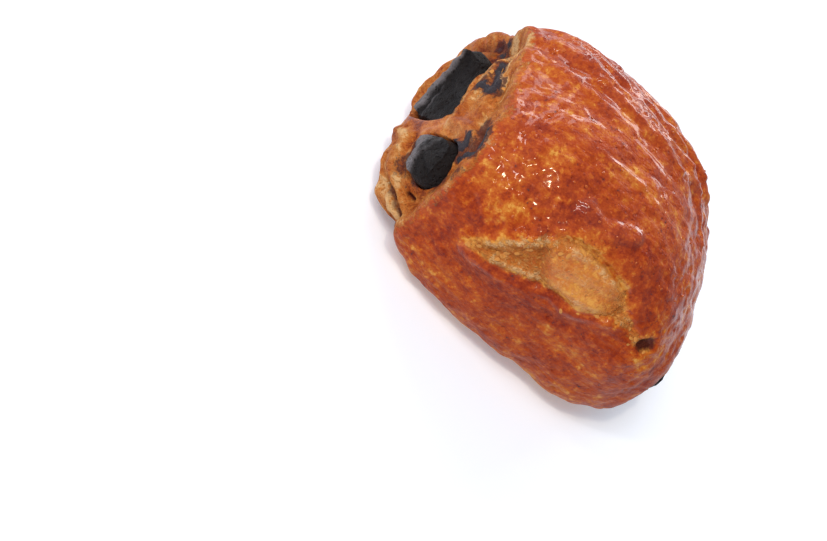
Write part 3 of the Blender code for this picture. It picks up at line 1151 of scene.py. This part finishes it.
def outside_tear(at: np.ndarray, side: float = -15.0, away: float = 50.0) -> np.ndarray:
    """How far places lie outside the torn window of the crust.

    Args:
        at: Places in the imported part's frame.
        side: The window is only at Y below this, in millimetres.
        away: The distance given elsewhere, in millimetres.

    Returns:
        The distance in metres, below 0 inside.
    """
    x, y, z = at.T / MM
    across = np.maximum(z - np.interp(x, *TEAR_TOP), np.interp(x, *TEAR_BOTTOM) - z)
    beyond = np.maximum(TEAR_TOP[0][0] - x, x - TEAR_TOP[0][-1])
    return np.where(y < side, np.maximum(across, beyond), away) * MM


@dataclass
class Areas:
    """Where points of the pastry lie, for the masks that its material reads.

    Args:
        roll: The roll's form.
        p: Points of the plain form.
        at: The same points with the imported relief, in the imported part's frame.
    """

    roll: Roll
    p: np.ndarray
    at: np.ndarray

    def __post_init__(self) -> None:
        """Work out what several masks share, each from 0 to 1 apart from the two distances."""
        self.ragged = MM * total(self.p, RAGGED)
        self.low = 1 - smooth(self.at[:, 2], 20 * MM, 31 * MM)
        past = (self.roll.past_edge(self.p) + self.ragged) / MM
        self.bare = mix(smooth(past, -1.6, 1.4), smooth(past, -3.0, 3.5), self.low)
        self.outside = outside_tear(self.at) + 1.7 * self.ragged
        self.torn = np.maximum(1 - smooth(self.outside, -1.0 * MM, 1.0 * MM),
                               marks(self.at, BAND, self.ragged))
        self.lobe = marks(self.at, RIGHT_LOBE)
        self.web = marks(self.at, WEB, self.ragged)
        self.lip = marks(self.at, LOWER_LIP)


@dataclass(frozen=True)
class Baking:
    """How brown the crust is, from 0 to 1, and by how much some places differ."""

    even: float = 0.63
    blotches: float = 0.42
    rim: float = 0.26
    foot: float = -0.38
    lip: float = 0.45
    torn: float = -0.28
    golden: float = -0.32
    dark: float = 0.10
    # Browner on the lower part of the torn side, which faces away from the lamps: painted shade
    side: float = 0.05
    most: float = 0.80


@dataclass
class Pastry:
    """The roll of laminated dough: its fine surface, its baking colours and its glaze."""

    roll: Roll = field(default_factory=Roll)
    baking: Baking = field(default_factory=Baking)
    finish: CrustFinish = field(default_factory=CrustFinish)
    count: int = 31
    levels: int = 2
    gap: float = 0.35 * MM
    overshoot: float = 9.0 * MM
    bed_cells: int = 8
    bed_reach: float = 1.5 * MM
    torn_rise: float = 0.80
    lobe_rise: float = 1.60

    def skin(self, p: np.ndarray, at: np.ndarray) -> np.ndarray:
        """Blisters, creases and pits of the crust.

        Args:
            p: Points of the plain form.
            at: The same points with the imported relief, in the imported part's frame.

        Returns:
            Relief along the normal, in millimetres.
        """
        shoulder = smooth(at[:, 1], 0.0, 14 * MM) * smooth(at[:, 2], 14 * MM, 26 * MM)
        far_side = smooth(at[:, 1], 18 * MM, 28 * MM)
        creases = mix(0.18, 0.45, shoulder) * veins(p, 6.0 * MM, 13.0, (3.0, 0.9, 0.9))
        pits = 0.30 * (1 - smooth(cells(p, 3.4 * MM, 19.0), 0.08, 0.3))
        return (total(p, SKIN) + shoulder * total(p, SHOULDER) + far_side * total(p, FAR_SIDE)
                - creases - pits)

    def crumb(self, p: np.ndarray, at: np.ndarray, smoothed: np.ndarray) -> np.ndarray:
        """Leaves, holes and streaks of the bare dough at the ends.

        Args:
            p: Points of the plain form.
            at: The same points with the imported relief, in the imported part's frame.
            smoothed: Where the dough is smooth, from 0 to 1.

        Returns:
            Relief along the normal, in millimetres.
        """
        holes = 0.5 * (1 - smooth(cells(p, 2.8 * MM, 15.0), 0.1, 0.35))
        rough = 0.42 * self.roll.leaves(p) + total(p, DOUGH) - holes
        return (1 - 0.8 * smoothed) * rough + marks(at, STREAKED) * total(p, STREAKS)

    def fine_relief(self, p: np.ndarray, at: np.ndarray) -> np.ndarray:
        """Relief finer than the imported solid's.

        Args:
            p: Points of the plain form.
            at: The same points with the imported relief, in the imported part's frame.

        Returns:
            Relief along the normal, in metres.
        """
        bare = smooth(self.roll.past_edge(p), -0.4 * MM, 1.2 * MM)
        outside = outside_tear(at)
        torn = 1 - smooth(outside, -0.8 * MM, 0.4 * MM)
        lobe = marks(at, RIGHT_LOBE)
        smoothed = np.maximum(marks(at, WEB), lobe)
        ragged = 0.5 * MM * grain(p, 2.2 * MM, 21.0)
        drawn = sum(height * marks(at, strokes, share * ragged)
                    for strokes, height, share in DRAWN)
        frayed = outside + 1.6 * ragged
        edge = 0.3 * (bump(frayed - 0.9 * MM, 1.7 * MM) - bump(frayed + 0.7 * MM, 1.3 * MM))
        return MM * ((1 - np.maximum(bare, torn)) * self.skin(p, at)
                     + bare * self.crumb(p, at, smoothed)
                     + torn * (1 - 0.75 * smoothed) * total(p, TORN_LEAVES)
                     + torn * (self.torn_rise + self.lobe_rise * lobe) + drawn + edge)

    def browning(self, a: Areas) -> np.ndarray:
        """How brown the crust is, with painted shade on the lower part of the torn side.

        Args:
            a: The points' areas.

        Returns:
            0 for pale gold to 1 for dark brown.
        """
        bake = self.baking
        rim = bump(a.outside - 4.0 * MM, 4.0 * MM) - 0.9 * bump(a.outside - 0.5 * MM, 2.6 * MM)
        height = a.p[:, 2] + 3 * MM * grain(a.p, 5 * MM, 25.0, (3, 1, 1))
        foot = 1 - smooth(height, 1.5 * MM, 8 * MM)
        brown = (bake.even + bake.blotches * total(a.p, BLOTCHES) + bake.rim * rim
                 + bake.foot * foot + bake.lip * a.lip + bake.torn * a.torn
                 + bake.golden * marks(a.at, GOLDEN, 1.8 * a.ragged)
                 + bake.dark * marks(a.at, DARK, 1.8 * a.ragged))
        brown = np.minimum(brown, bake.most + 0.1 * grain(a.p, 4 * MM, 37.0))
        # Browner on the lower part of the torn side, which faces away from the lamps: painted shade
        side = smooth(-a.at[:, 1], 22 * MM, 28 * MM) * (1 - smooth(a.at[:, 2], 22 * MM, 30 * MM))
        return brown + bake.side * side

    def paleness(self, a: Areas) -> np.ndarray:
        """How pale torn and bare dough is.

        Args:
            a: The points' areas.

        Returns:
            0 for brown to 1 for cream.
        """
        crumbs = total(a.p, CRUMBS) + 0.32 * a.bare * self.roll.leaves(a.p)
        torn = (0.60 + 0.06 * a.lobe + 0.9 * crumbs * (1 - 0.4 * a.lobe)
                + 0.36 * marks(a.at, PALE_TORN, a.ragged))
        # The cavity beside the flat baton is made darker: painted shade
        end = (0.53 + 0.09 * smooth(a.at[:, 2], 16 * MM, 26 * MM) + 1.2 * crumbs - 0.16 * a.web
               + 0.40 * marks(a.at, PALE_DOUGH, a.ragged) - 0.2 * marks(a.at, CAVITY))
        return np.where(a.torn > a.bare, torn, end)

    def staining(self, a: Areas) -> np.ndarray:
        """Where chocolate has stained the dough.

        Args:
            a: The points' areas.

        Returns:
            0 for clean to 1 for stained.
        """
        near = self.roll.outside_batons(a.p) + 0.6 * MM * grain(a.p, 2.5 * MM, 26.0)
        return np.maximum.reduce((
            a.bare * marks(a.at, STAINS, a.ragged) * (1 - 0.8 * a.web),
            0.9 * marks(a.at, SMEARS, 1.6 * a.ragged - 0.8 * MM),
            a.bare * (1 - a.web) * (1 - smooth(near, 0.3 * MM, 1.6 * MM))))

    def painted_shade_marks(self, a: Areas) -> np.ndarray:
        """Painted shade: how dark slits, crevices, the cavity and the small hole are made, with a
        painted shadow line under the tear's upper edge.

        Args:
            a: The points' areas.

        Returns:
            0 for none to 1 for a deep slit.
        """
        # A thin painted shadow line just under the tear's upper edge
        upper = bump(a.outside + 0.4 * MM, 0.9 * MM) * smooth(grain(a.p, 3 * MM, 31.0), -0.1, 0.3)
        return np.maximum.reduce((
            0.3 * marks(a.at, CREVICE, a.ragged), marks(a.at, SLITS, 0.3 * a.ragged),
            0.5 * marks(a.at, CAVITY, a.ragged), 0.34 * upper))

    def gloss(self, a: Areas) -> np.ndarray:
        """Where the surface is smooth and glossy, 0 to 1."""
        return np.maximum.reduce((
            0.4 * a.web, 0.8 * a.lip, 0.75 * a.lobe, 0.8 * marks(a.at, FOLD),
            0.55 * marks(a.at, RIDGES), 0.5 * marks(a.at, SMEARS)))

    def glaze(self, a: Areas) -> np.ndarray:
        """How thick the glaze lies, 0 to 1: thinly on the lower part of the torn side."""
        side = smooth(-a.at[:, 1], 17 * MM, 27 * MM)
        return 1 - 0.85 * side * (1 - smooth(a.at[:, 2], 31 * MM, 38 * MM))

    def flaky(self, a: Areas) -> np.ndarray:
        """Where loose flakes lie: in the tear, by its edge and, few, on the shown end.

        Args:
            a: The points' areas.

        Returns:
            A share of the flakes' density, 0 to 1.
        """
        end = 0.12 * a.bare * (1 - a.web) * (1 - a.low)
        edge = 0.15 * bump(a.outside - 0.4 * MM, 1.6 * MM)
        return np.clip(a.torn * (1 - a.lobe) + end + edge, 0, 1)

    def beaded(self, a: Areas) -> np.ndarray:
        """Where drops of glaze sit on the crust: in patches on the top.

        Args:
            a: The points' areas.

        Returns:
            A share of the drops' density, 0 to 1.
        """
        top = smooth(a.at[:, 2], 28 * MM, 40 * MM)
        patches = 0.35 + 0.65 * smooth(grain(a.p, 6 * MM, 33.0), 0.0, 0.4)
        return np.clip(top * patches * (1 - a.bare) * (1 - a.torn), 0, 1)

    def masks(self, p: np.ndarray, at: np.ndarray) -> dict:
        """What the material and the strewn things need to know of each point.

        Args:
            p: Points of the plain form.
            at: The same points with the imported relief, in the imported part's frame.

        Returns:
            Values by the name that the mesh stores them under, each about 0 to 1.
        """
        a = Areas(self.roll, p, at)
        return {
            "brown": self.browning(a),
            "glaze": self.glaze(a),
            "open": np.maximum(a.bare, a.torn * (1 - a.lip) * (0.62 - 0.14 * a.lobe)),
            "pale": self.paleness(a),
            "stain": self.staining(a),
            "smear": marks(at, SMEARS, 0.8 * a.ragged),
            "gloss": self.gloss(a),
            # Painted shade in slits, crevices, the cavity and the hole
            "shade": self.painted_shade_marks(a),
            "flaky": self.flaky(a),
            "beaded": self.beaded(a),
        }

    def cut_bed(self, piece: bpy.types.Object, spec: BatonSpec) -> bpy.types.Object:
        """Add a cut for one baton's bed.

        Args:
            piece: The pastry.
            spec: The baton.

        Returns:
            The cutter, to be removed after the cut.
        """
        cutter = fine_cube(spec.name + "_bed", self.bed_cells, 1)
        p = Baton(spec).shape(places(cutter.data), self.gap, self.overshoot)
        set_places(cutter.data, p)
        cut = piece.modifiers.new(spec.name, "BOOLEAN")
        cut.operation = "DIFFERENCE"
        cut.solver = "MANIFOLD"
        cut.object = cutter
        return cutter

    def build(self) -> bpy.types.Object:
        """Build the dressed pastry.

        Returns:
            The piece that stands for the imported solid.
        """
        piece = fine_cube("pastry_crust", self.count, self.levels)
        mesh = piece.data
        plain = self.roll.plain(places(mesh))
        set_places(mesh, plain)
        out = normals(mesh)
        moved = plain + out * self.roll.relief(plain)[:, None]
        masks = self.masks(plain, moved + OFFSET)
        moved = moved + out * self.fine_relief(plain, moved + OFFSET)[:, None]
        moved[:, 2] = np.maximum(moved[:, 2], 0.0)
        set_places(mesh, moved)
        cutters = [self.cut_bed(piece, spec) for spec in BATONS]
        settle(piece)
        for cutter in cutters:
            bpy.data.objects.remove(cutter, do_unlink=True)
        self.carry_over(piece.data, moved, masks)
        set_places(piece.data, places(piece.data) + OFFSET)
        dress(piece, self.finish.material())
        return piece

    def carry_over(self, mesh: bpy.types.Mesh, before: np.ndarray, masks: dict) -> None:
        """Store the masks on the cut mesh, each point taking its nearest old point's.

        Args:
            mesh: The mesh after the cuts.
            before: The points before the cuts.
            masks: The values of those points by name.
        """
        tree = kdtree.KDTree(len(before))
        for number, place in enumerate(before):
            tree.insert(place, number)
        tree.balance()
        found = [tree.find(place) for place in places(mesh)]
        nearest = np.array([hit[1] for hit in found])
        inside = np.array([hit[2] for hit in found]) > self.bed_reach
        in_beds = {"open": 1.0, "stain": 1.0, "flaky": 0.0, "beaded": 0.0}
        for name, values in masks.items():
            taken = values[nearest].copy()
            taken[inside] = in_beds.get(name, taken[inside])
            store(mesh, name, taken)


@dataclass(frozen=True)
class Strewn:
    """Small things strewn over the pastry by Geometry Nodes, denser where a mask is high."""

    name: str
    mask: str
    density: float
    least: float
    greatest: float
    form: tuple
    facets: int
    seed: int
    finish: PlainFinish

    def tree(self) -> tuple[bpy.types.NodeTree, dict]:
        """Build the node tree.

        Returns:
            The tree and its inputs' identifiers by name.
        """
        tree = bpy.data.node_groups.new(self.name, "GeometryNodeTree")
        sockets = {}
        for name, kind in (("Geometry", "Geometry"), ("Density", "Float"), ("Least", "Float"),
                           ("Greatest", "Float"), ("Form", "Vector"), ("Seed", "Int"),
                           ("Material", "Material")):
            made = tree.interface.new_socket(name, in_out="INPUT", socket_type="NodeSocket" + kind)
            sockets[name] = made.identifier
        tree.interface.new_socket("Geometry", in_out="OUTPUT", socket_type="NodeSocketGeometry")
        g = Graph(tree)
        given = g.node("NodeGroupInput").outputs
        mask = g.node("GeometryNodeInputNamedAttribute", {"data_type": "FLOAT"}, {"Name": self.mask})
        density = g.signal(mask, "Attribute") * given["Density"]
        spread = g.node("GeometryNodeDistributePointsOnFaces", {}, {
            "Mesh": given["Geometry"], "Density": density, "Seed": given["Seed"]})
        turn = g.node("FunctionNodeRandomValue", {"data_type": "FLOAT_VECTOR"}, {
            0: (-0.5, -0.5, 0.0), 1: (0.5, 0.5, 2 * math.pi), "Seed": given["Seed"]})
        turned = g.node("FunctionNodeRotateRotation", {"rotation_space": "LOCAL"}, {
            "Rotation": spread.outputs["Rotation"], "Rotate By": turn.outputs[0]})
        size = g.node("FunctionNodeRandomValue", {"data_type": "FLOAT"}, {
            2: given["Least"], 3: given["Greatest"], "Seed": given["Seed"]})
        scale = g.node("ShaderNodeVectorMath", {"operation": "SCALE"}, {
            0: given["Form"], "Scale": size.outputs[1]})
        body = g.node("GeometryNodeMeshIcoSphere", {}, {"Subdivisions": self.facets})
        placed = g.node("GeometryNodeInstanceOnPoints", {}, {
            "Points": spread.outputs["Points"], "Instance": body.outputs["Mesh"],
            "Rotation": turned.outputs["Rotation"], "Scale": scale.outputs["Vector"]})
        real = g.node("GeometryNodeRealizeInstances", {}, {"Geometry": placed.outputs["Instances"]})
        dressed = g.node("GeometryNodeSetMaterial", {}, {
            "Geometry": real.outputs["Geometry"], "Material": given["Material"]})
        g.node("NodeGroupOutput", {}, {"Geometry": dressed.outputs["Geometry"]})
        return tree, sockets

    def build(self, host: bpy.types.Object) -> bpy.types.Object:
        """Strew the things over a host piece and make them a piece of their own.

        Args:
            host: The piece that carries the mask.

        Returns:
            The new piece.
        """
        piece = bpy.data.objects.new(self.name, host.data.copy())
        bpy.context.scene.collection.objects.link(piece)
        strewing = piece.modifiers.new(self.name, "NODES")
        strewing.node_group, sockets = self.tree()
        given = {"Density": self.density, "Least": self.least, "Greatest": self.greatest,
                 "Form": self.form, "Seed": self.seed, "Material": self.finish.material()}
        for name, value in given.items():
            strewing[sockets[name]] = value
        settle(piece)
        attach(piece, "root")
        log.info("%s has %d faces", piece.name, len(piece.data.polygons))
        return piece


STREWN = (
    Strewn("flakes", "flaky", 1.6e5, 0.30 * MM, 0.80 * MM, (1.0, 0.6, 0.16), 2, 11,
           PlainFinish("flake", (0.56, 0.235, 0.055), 0.6, 0.2)),
    Strewn("glaze_drops", "beaded", 1.0e5, 0.12 * MM, 0.32 * MM, (1.3, 1.0, 0.5), 3, 12,
           PlainFinish("glaze_drop", (0.45, 0.085, 0.010), 0.15, 0.6)),
)


@dataclass
class Baton:
    """A chocolate baton, lumpy where it shows and pale there with waxy bloom and painted sheen,
    whose shown end bulges.
    """

    spec: BatonSpec
    finish: ChocolateFinish = field(default_factory=ChocolateFinish)
    count: int = 24
    worn: float = 0.13

    def shape(self, corners: np.ndarray, grow: float, overshoot: float) -> np.ndarray:
        """Points of the baton for points of a cube from -1 to 1.

        Args:
            corners: Points of the cube.
            grow: How much thicker than the baton, each way.
            overshoot: How far past the baton's ends a cutter runs, or 0 for the baton.

        Returns:
            The points in metres.
        """
        spec = self.spec
        along, across, up = np.clip(corners.T, -1.0, 1.0)
        eased = np.copysign(1 - (1 - np.abs(along)) ** 1.8, along)
        x = mix(spec.near_x - overshoot, spec.far_x + overshoot, (eased + 1) / 2)
        if overshoot == 0.0:
            x -= np.minimum(eased, 0) * spec.slant * up * spec.near_size[1] / 2
        y, z, width, thickness, tilt, taper = spec.section(x)
        circle = (np.abs(across) ** spec.power + np.abs(up) ** spec.power) ** (1 / spec.power)
        rounded = np.maximum(np.abs(across), np.abs(up)) / np.maximum(circle, 1e-6)
        if overshoot == 0.0:
            rounded = rounded * (1 - self.worn * smooth(np.abs(eased), 0.93, 1.0))
        drawn = spec.corner * (1 - smooth(x - spec.near_x, 0.0, spec.taper_end / 2))
        out = across + drawn * smooth(across, 0.2, 1.0) * smooth(-up, -0.4, 1.0)
        up = (up - 0.7 * drawn * smooth(-up, 0.0, 1.0)) * rounded * (
            thickness / 2 * (1 - taper * across) + grow)
        across = out * rounded * (width / 2 + grow)
        return np.stack((x, y + across * np.cos(tilt) - up * np.sin(tilt),
                         z + up * np.cos(tilt) + across * np.sin(tilt)), axis=1)

    def face(self, across: np.ndarray, up: np.ndarray) -> tuple:
        """How the shown end stands out.

        Args:
            across: Places across the end, -1 to 1.
            up: Places up the end, -1 to 1.

        Returns:
            How far it stands out in millimetres, its pale bloom with painted sheen on the lit half
            and the ridge, and its glossy spots, 0 to 1.
        """
        dome = 1 - np.minimum(across ** 2 + up ** 2, 1.0)
        # The lit half is paler: painted sheen over the bloom
        lit_half = smooth(-up, -0.1, 0.7)
        spot = bump(np.hypot(across + 0.35, up + 0.45), 0.45)
        ridge = bump(up + 0.05 - 0.3 * across, 0.22)
        bloom_and_sheen = np.clip(0.80 * lit_half + 0.3 * ridge + 0.15, 0, 1)
        return 0.9 * dome + 0.25 * ridge, bloom_and_sheen, spot

    def build(self) -> bpy.types.Object:
        """Build the dressed baton.

        Returns:
            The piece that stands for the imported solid.
        """
        piece = fine_cube(self.spec.name + "_chocolate", self.count, 1)
        corners = places(piece.data)
        p = self.shape(corners, 0.0, 0.0)
        at_end = smooth(np.abs(corners[:, 0]), 0.9, 1.0)
        shown = smooth(-corners[:, 0], 0.9, 1.0)
        stands, bloom_and_sheen, spot = self.face(corners[:, 1], corners[:, 2])
        p[:, 0] += MM * at_end * total(p, BROKEN_END)
        p[:, 0] -= MM * shown * stands
        p += MM * normals(piece.data) * total(p, BATON_SIDE)[:, None]
        set_places(piece.data, p + OFFSET)
        # The edge mask carries the bloom and the painted sheen
        store(piece.data, "edge", bloom_and_sheen * shown)
        store(piece.data, "spot", spot * shown)
        dress(piece, self.finish.material())
        return piece


@dataclass
class FlatBaton(Baton):
    """The wide flat baton, whose shown end is hollow between waxy ridges, pale with bloom and a
    painted highlight.
    """

    def face(self, across: np.ndarray, up: np.ndarray) -> tuple:
        """How the shown end stands out.

        Args:
            across: Places across the end, -1 to 1.
            up: Places up the end, -1 to 1.

        Returns:
            How far it stands out in millimetres, its pale bloom with a painted highlight on the
            ridges, and its glossy spots, 0 to 1.
        """
        inner = 1 - smooth(np.maximum(np.abs(across), np.abs(up)), 0.55, 0.95)
        # The ridges are paler: bloom with a painted highlight
        ridge = bump(up + 0.84, 0.26)
        second = 0.6 * bump(up + 0.52 + 0.06 * across, 0.12) * smooth(-across, -0.6, 0.6)
        spot = 0.4 * bump(up + 0.76, 0.14)
        return 0.6 * ridge + 0.15 * second - 0.55 * inner, np.maximum(ridge, second), spot


# Camera, light and floor

@dataclass(frozen=True)
class Lamp:
    """A soft rectangular light that looks at the pastry from a direction in the room."""

    name: str
    toward: tuple
    distance: float
    size: tuple
    power: float
    colour: tuple = (1.0, 1.0, 1.0)
    shines: bool = True


@dataclass(frozen=True)
class View:
    """The photograph's camera, in degrees and metres; its places in the picture in pixels."""

    azimuth: float = -29.8
    elevation: float = 40.2
    roll: float = 60.14
    distance: float = 0.5024
    target: tuple = (0.3 * MM, 0.0, 20.0 * MM)
    lens: float = 104.47
    sensor: float = 36.0
    focal: float = 2400.0
    right_of_middle: float = 155.9
    above_middle: float = 59.0

    def axes(self) -> tuple[Vector, Vector, Vector]:
        """The camera's directions before it is aimed.

        Returns:
            Right, up and backward.
        """
        azimuth, elevation, roll = map(math.radians, (self.azimuth, self.elevation, self.roll))
        back = Vector((math.sin(azimuth) * math.cos(elevation),
                       -math.cos(azimuth) * math.cos(elevation), math.sin(elevation)))
        level = Vector((math.cos(azimuth), math.sin(azimuth), 0.0))
        rise = back.cross(level)
        right = math.cos(roll) * level + math.sin(roll) * rise
        return right, math.cos(roll) * rise - math.sin(roll) * level, back

    def matrix(self) -> Matrix:
        """Where the camera stands, aimed so that the pastry lies beside the picture's middle.

        Returns:
            The camera's matrix.
        """
        right, up, back = self.axes()
        target = Vector(self.target)
        eye = target + back * self.distance
        beside = right * self.right_of_middle + up * self.above_middle
        look = (eye - target + beside * (self.distance / self.focal)).normalized()
        side = up.cross(look).normalized()
        turned = Matrix((side, look.cross(side), look)).transposed()
        return Matrix.Translation(eye) @ turned.to_4x4()


@dataclass
class Studio:
    """The plain floor, the soft lights and the photograph's camera."""

    view: View = View()
    floor_size: float = 6.0
    world: tuple = (0.88, 0.92, 1.0, 1.0)
    world_strength: float = 0.37
    surface: PlainFinish = PlainFinish("pale_floor", (0.78, 0.82, 0.90), glow=0.28)
    lamps: tuple = (
        Lamp("back", (0.15, 0.90, 0.40), 1.3, (1.3, 0.30), 8.5),
        Lamp("sheen", (-0.45, 0.68, 0.58), 1.3, (0.50, 0.35), 2.4),
        Lamp("fill", (-0.40, -0.30, 0.86), 1.3, (0.50, 0.50), 7.2, shines=False),
        Lamp("glint", (-0.34, -0.34, 0.88), 1.2, (0.05, 0.05), 2.4, (1.0, 0.86, 0.58)),
        Lamp("window", (-0.65, -0.31, 0.69), 1.2, (0.06, 0.16), 1.6, (1.0, 0.96, 0.92)),
        Lamp("end", (-0.82, -0.01, 0.58), 1.2, (0.16, 0.16), 1.5),
    )

    def camera(self) -> None:
        """Add the camera and make it the scene's."""
        data = bpy.data.cameras.new("camera")
        data.lens = self.view.lens
        data.sensor_width = self.view.sensor
        data.clip_start = 0.01
        data.clip_end = 50.0
        holder = bpy.data.objects.new("camera", data)
        holder.matrix_world = self.view.matrix()
        bpy.context.scene.collection.objects.link(holder)
        bpy.context.scene.camera = holder

    def lights(self) -> None:
        """Add the lamps and the even light of the room."""
        target = Vector(self.view.target)
        for lamp in self.lamps:
            data = bpy.data.lights.new(lamp.name, "AREA")
            data.shape = "RECTANGLE"
            data.size, data.size_y = lamp.size
            data.energy = lamp.power
            data.color = lamp.colour
            holder = bpy.data.objects.new(lamp.name, data)
            holder.visible_glossy = lamp.shines
            toward = Vector(lamp.toward).normalized()
            holder.matrix_world = (Matrix.Translation(target + toward * lamp.distance)
                                   @ toward.to_track_quat("Z", "Y").to_matrix().to_4x4())
            bpy.context.scene.collection.objects.link(holder)
        world = bpy.data.worlds.new("room")
        world.use_nodes = True
        shade = world.node_tree.nodes["Background"]
        shade.inputs["Color"].default_value = self.world
        shade.inputs["Strength"].default_value = self.world_strength
        bpy.context.scene.world = world

    def floor(self) -> None:
        """Add the plain pale floor, which isn't part of the pastry."""
        mesh = bmesh.new()
        bmesh.ops.create_grid(mesh, x_segments=1, y_segments=1, size=self.floor_size / 2)
        data = bpy.data.meshes.new("floor")
        mesh.to_mesh(data)
        mesh.free()
        data.materials.append(self.surface.material())
        piece = bpy.data.objects.new("floor", data)
        bpy.context.scene.collection.objects.link(piece)

    def build(self) -> None:
        """Build the whole studio."""
        bpy.context.scene.view_settings.view_transform = "Standard"
        self.camera()
        self.lights()
        self.floor()


def stand_in(piece: bpy.types.Object, node: str) -> None:
    """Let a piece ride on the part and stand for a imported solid.

    Args:
        piece: The dressed piece.
        node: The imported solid's name.
    """
    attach(piece, "root")
    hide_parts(node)
    log.info("%s stands for %s with %d faces", piece.name, node, len(piece.data.polygons))


def main() -> None:
    """Build the pastry, its batons, what is strewn on it and the studio."""
    logging.basicConfig(level=logging.INFO, format="%(name)s: %(message)s")
    pastry = Pastry().build()
    stand_in(pastry, "pastry")
    flat, round_one = BATONS
    for baton in (FlatBaton(flat), Baton(round_one)):
        stand_in(baton.build(), baton.spec.name)
    for strewn in STREWN:
        strewn.build(pastry)
    Studio().build()


if __name__ == "__main__":
    main()
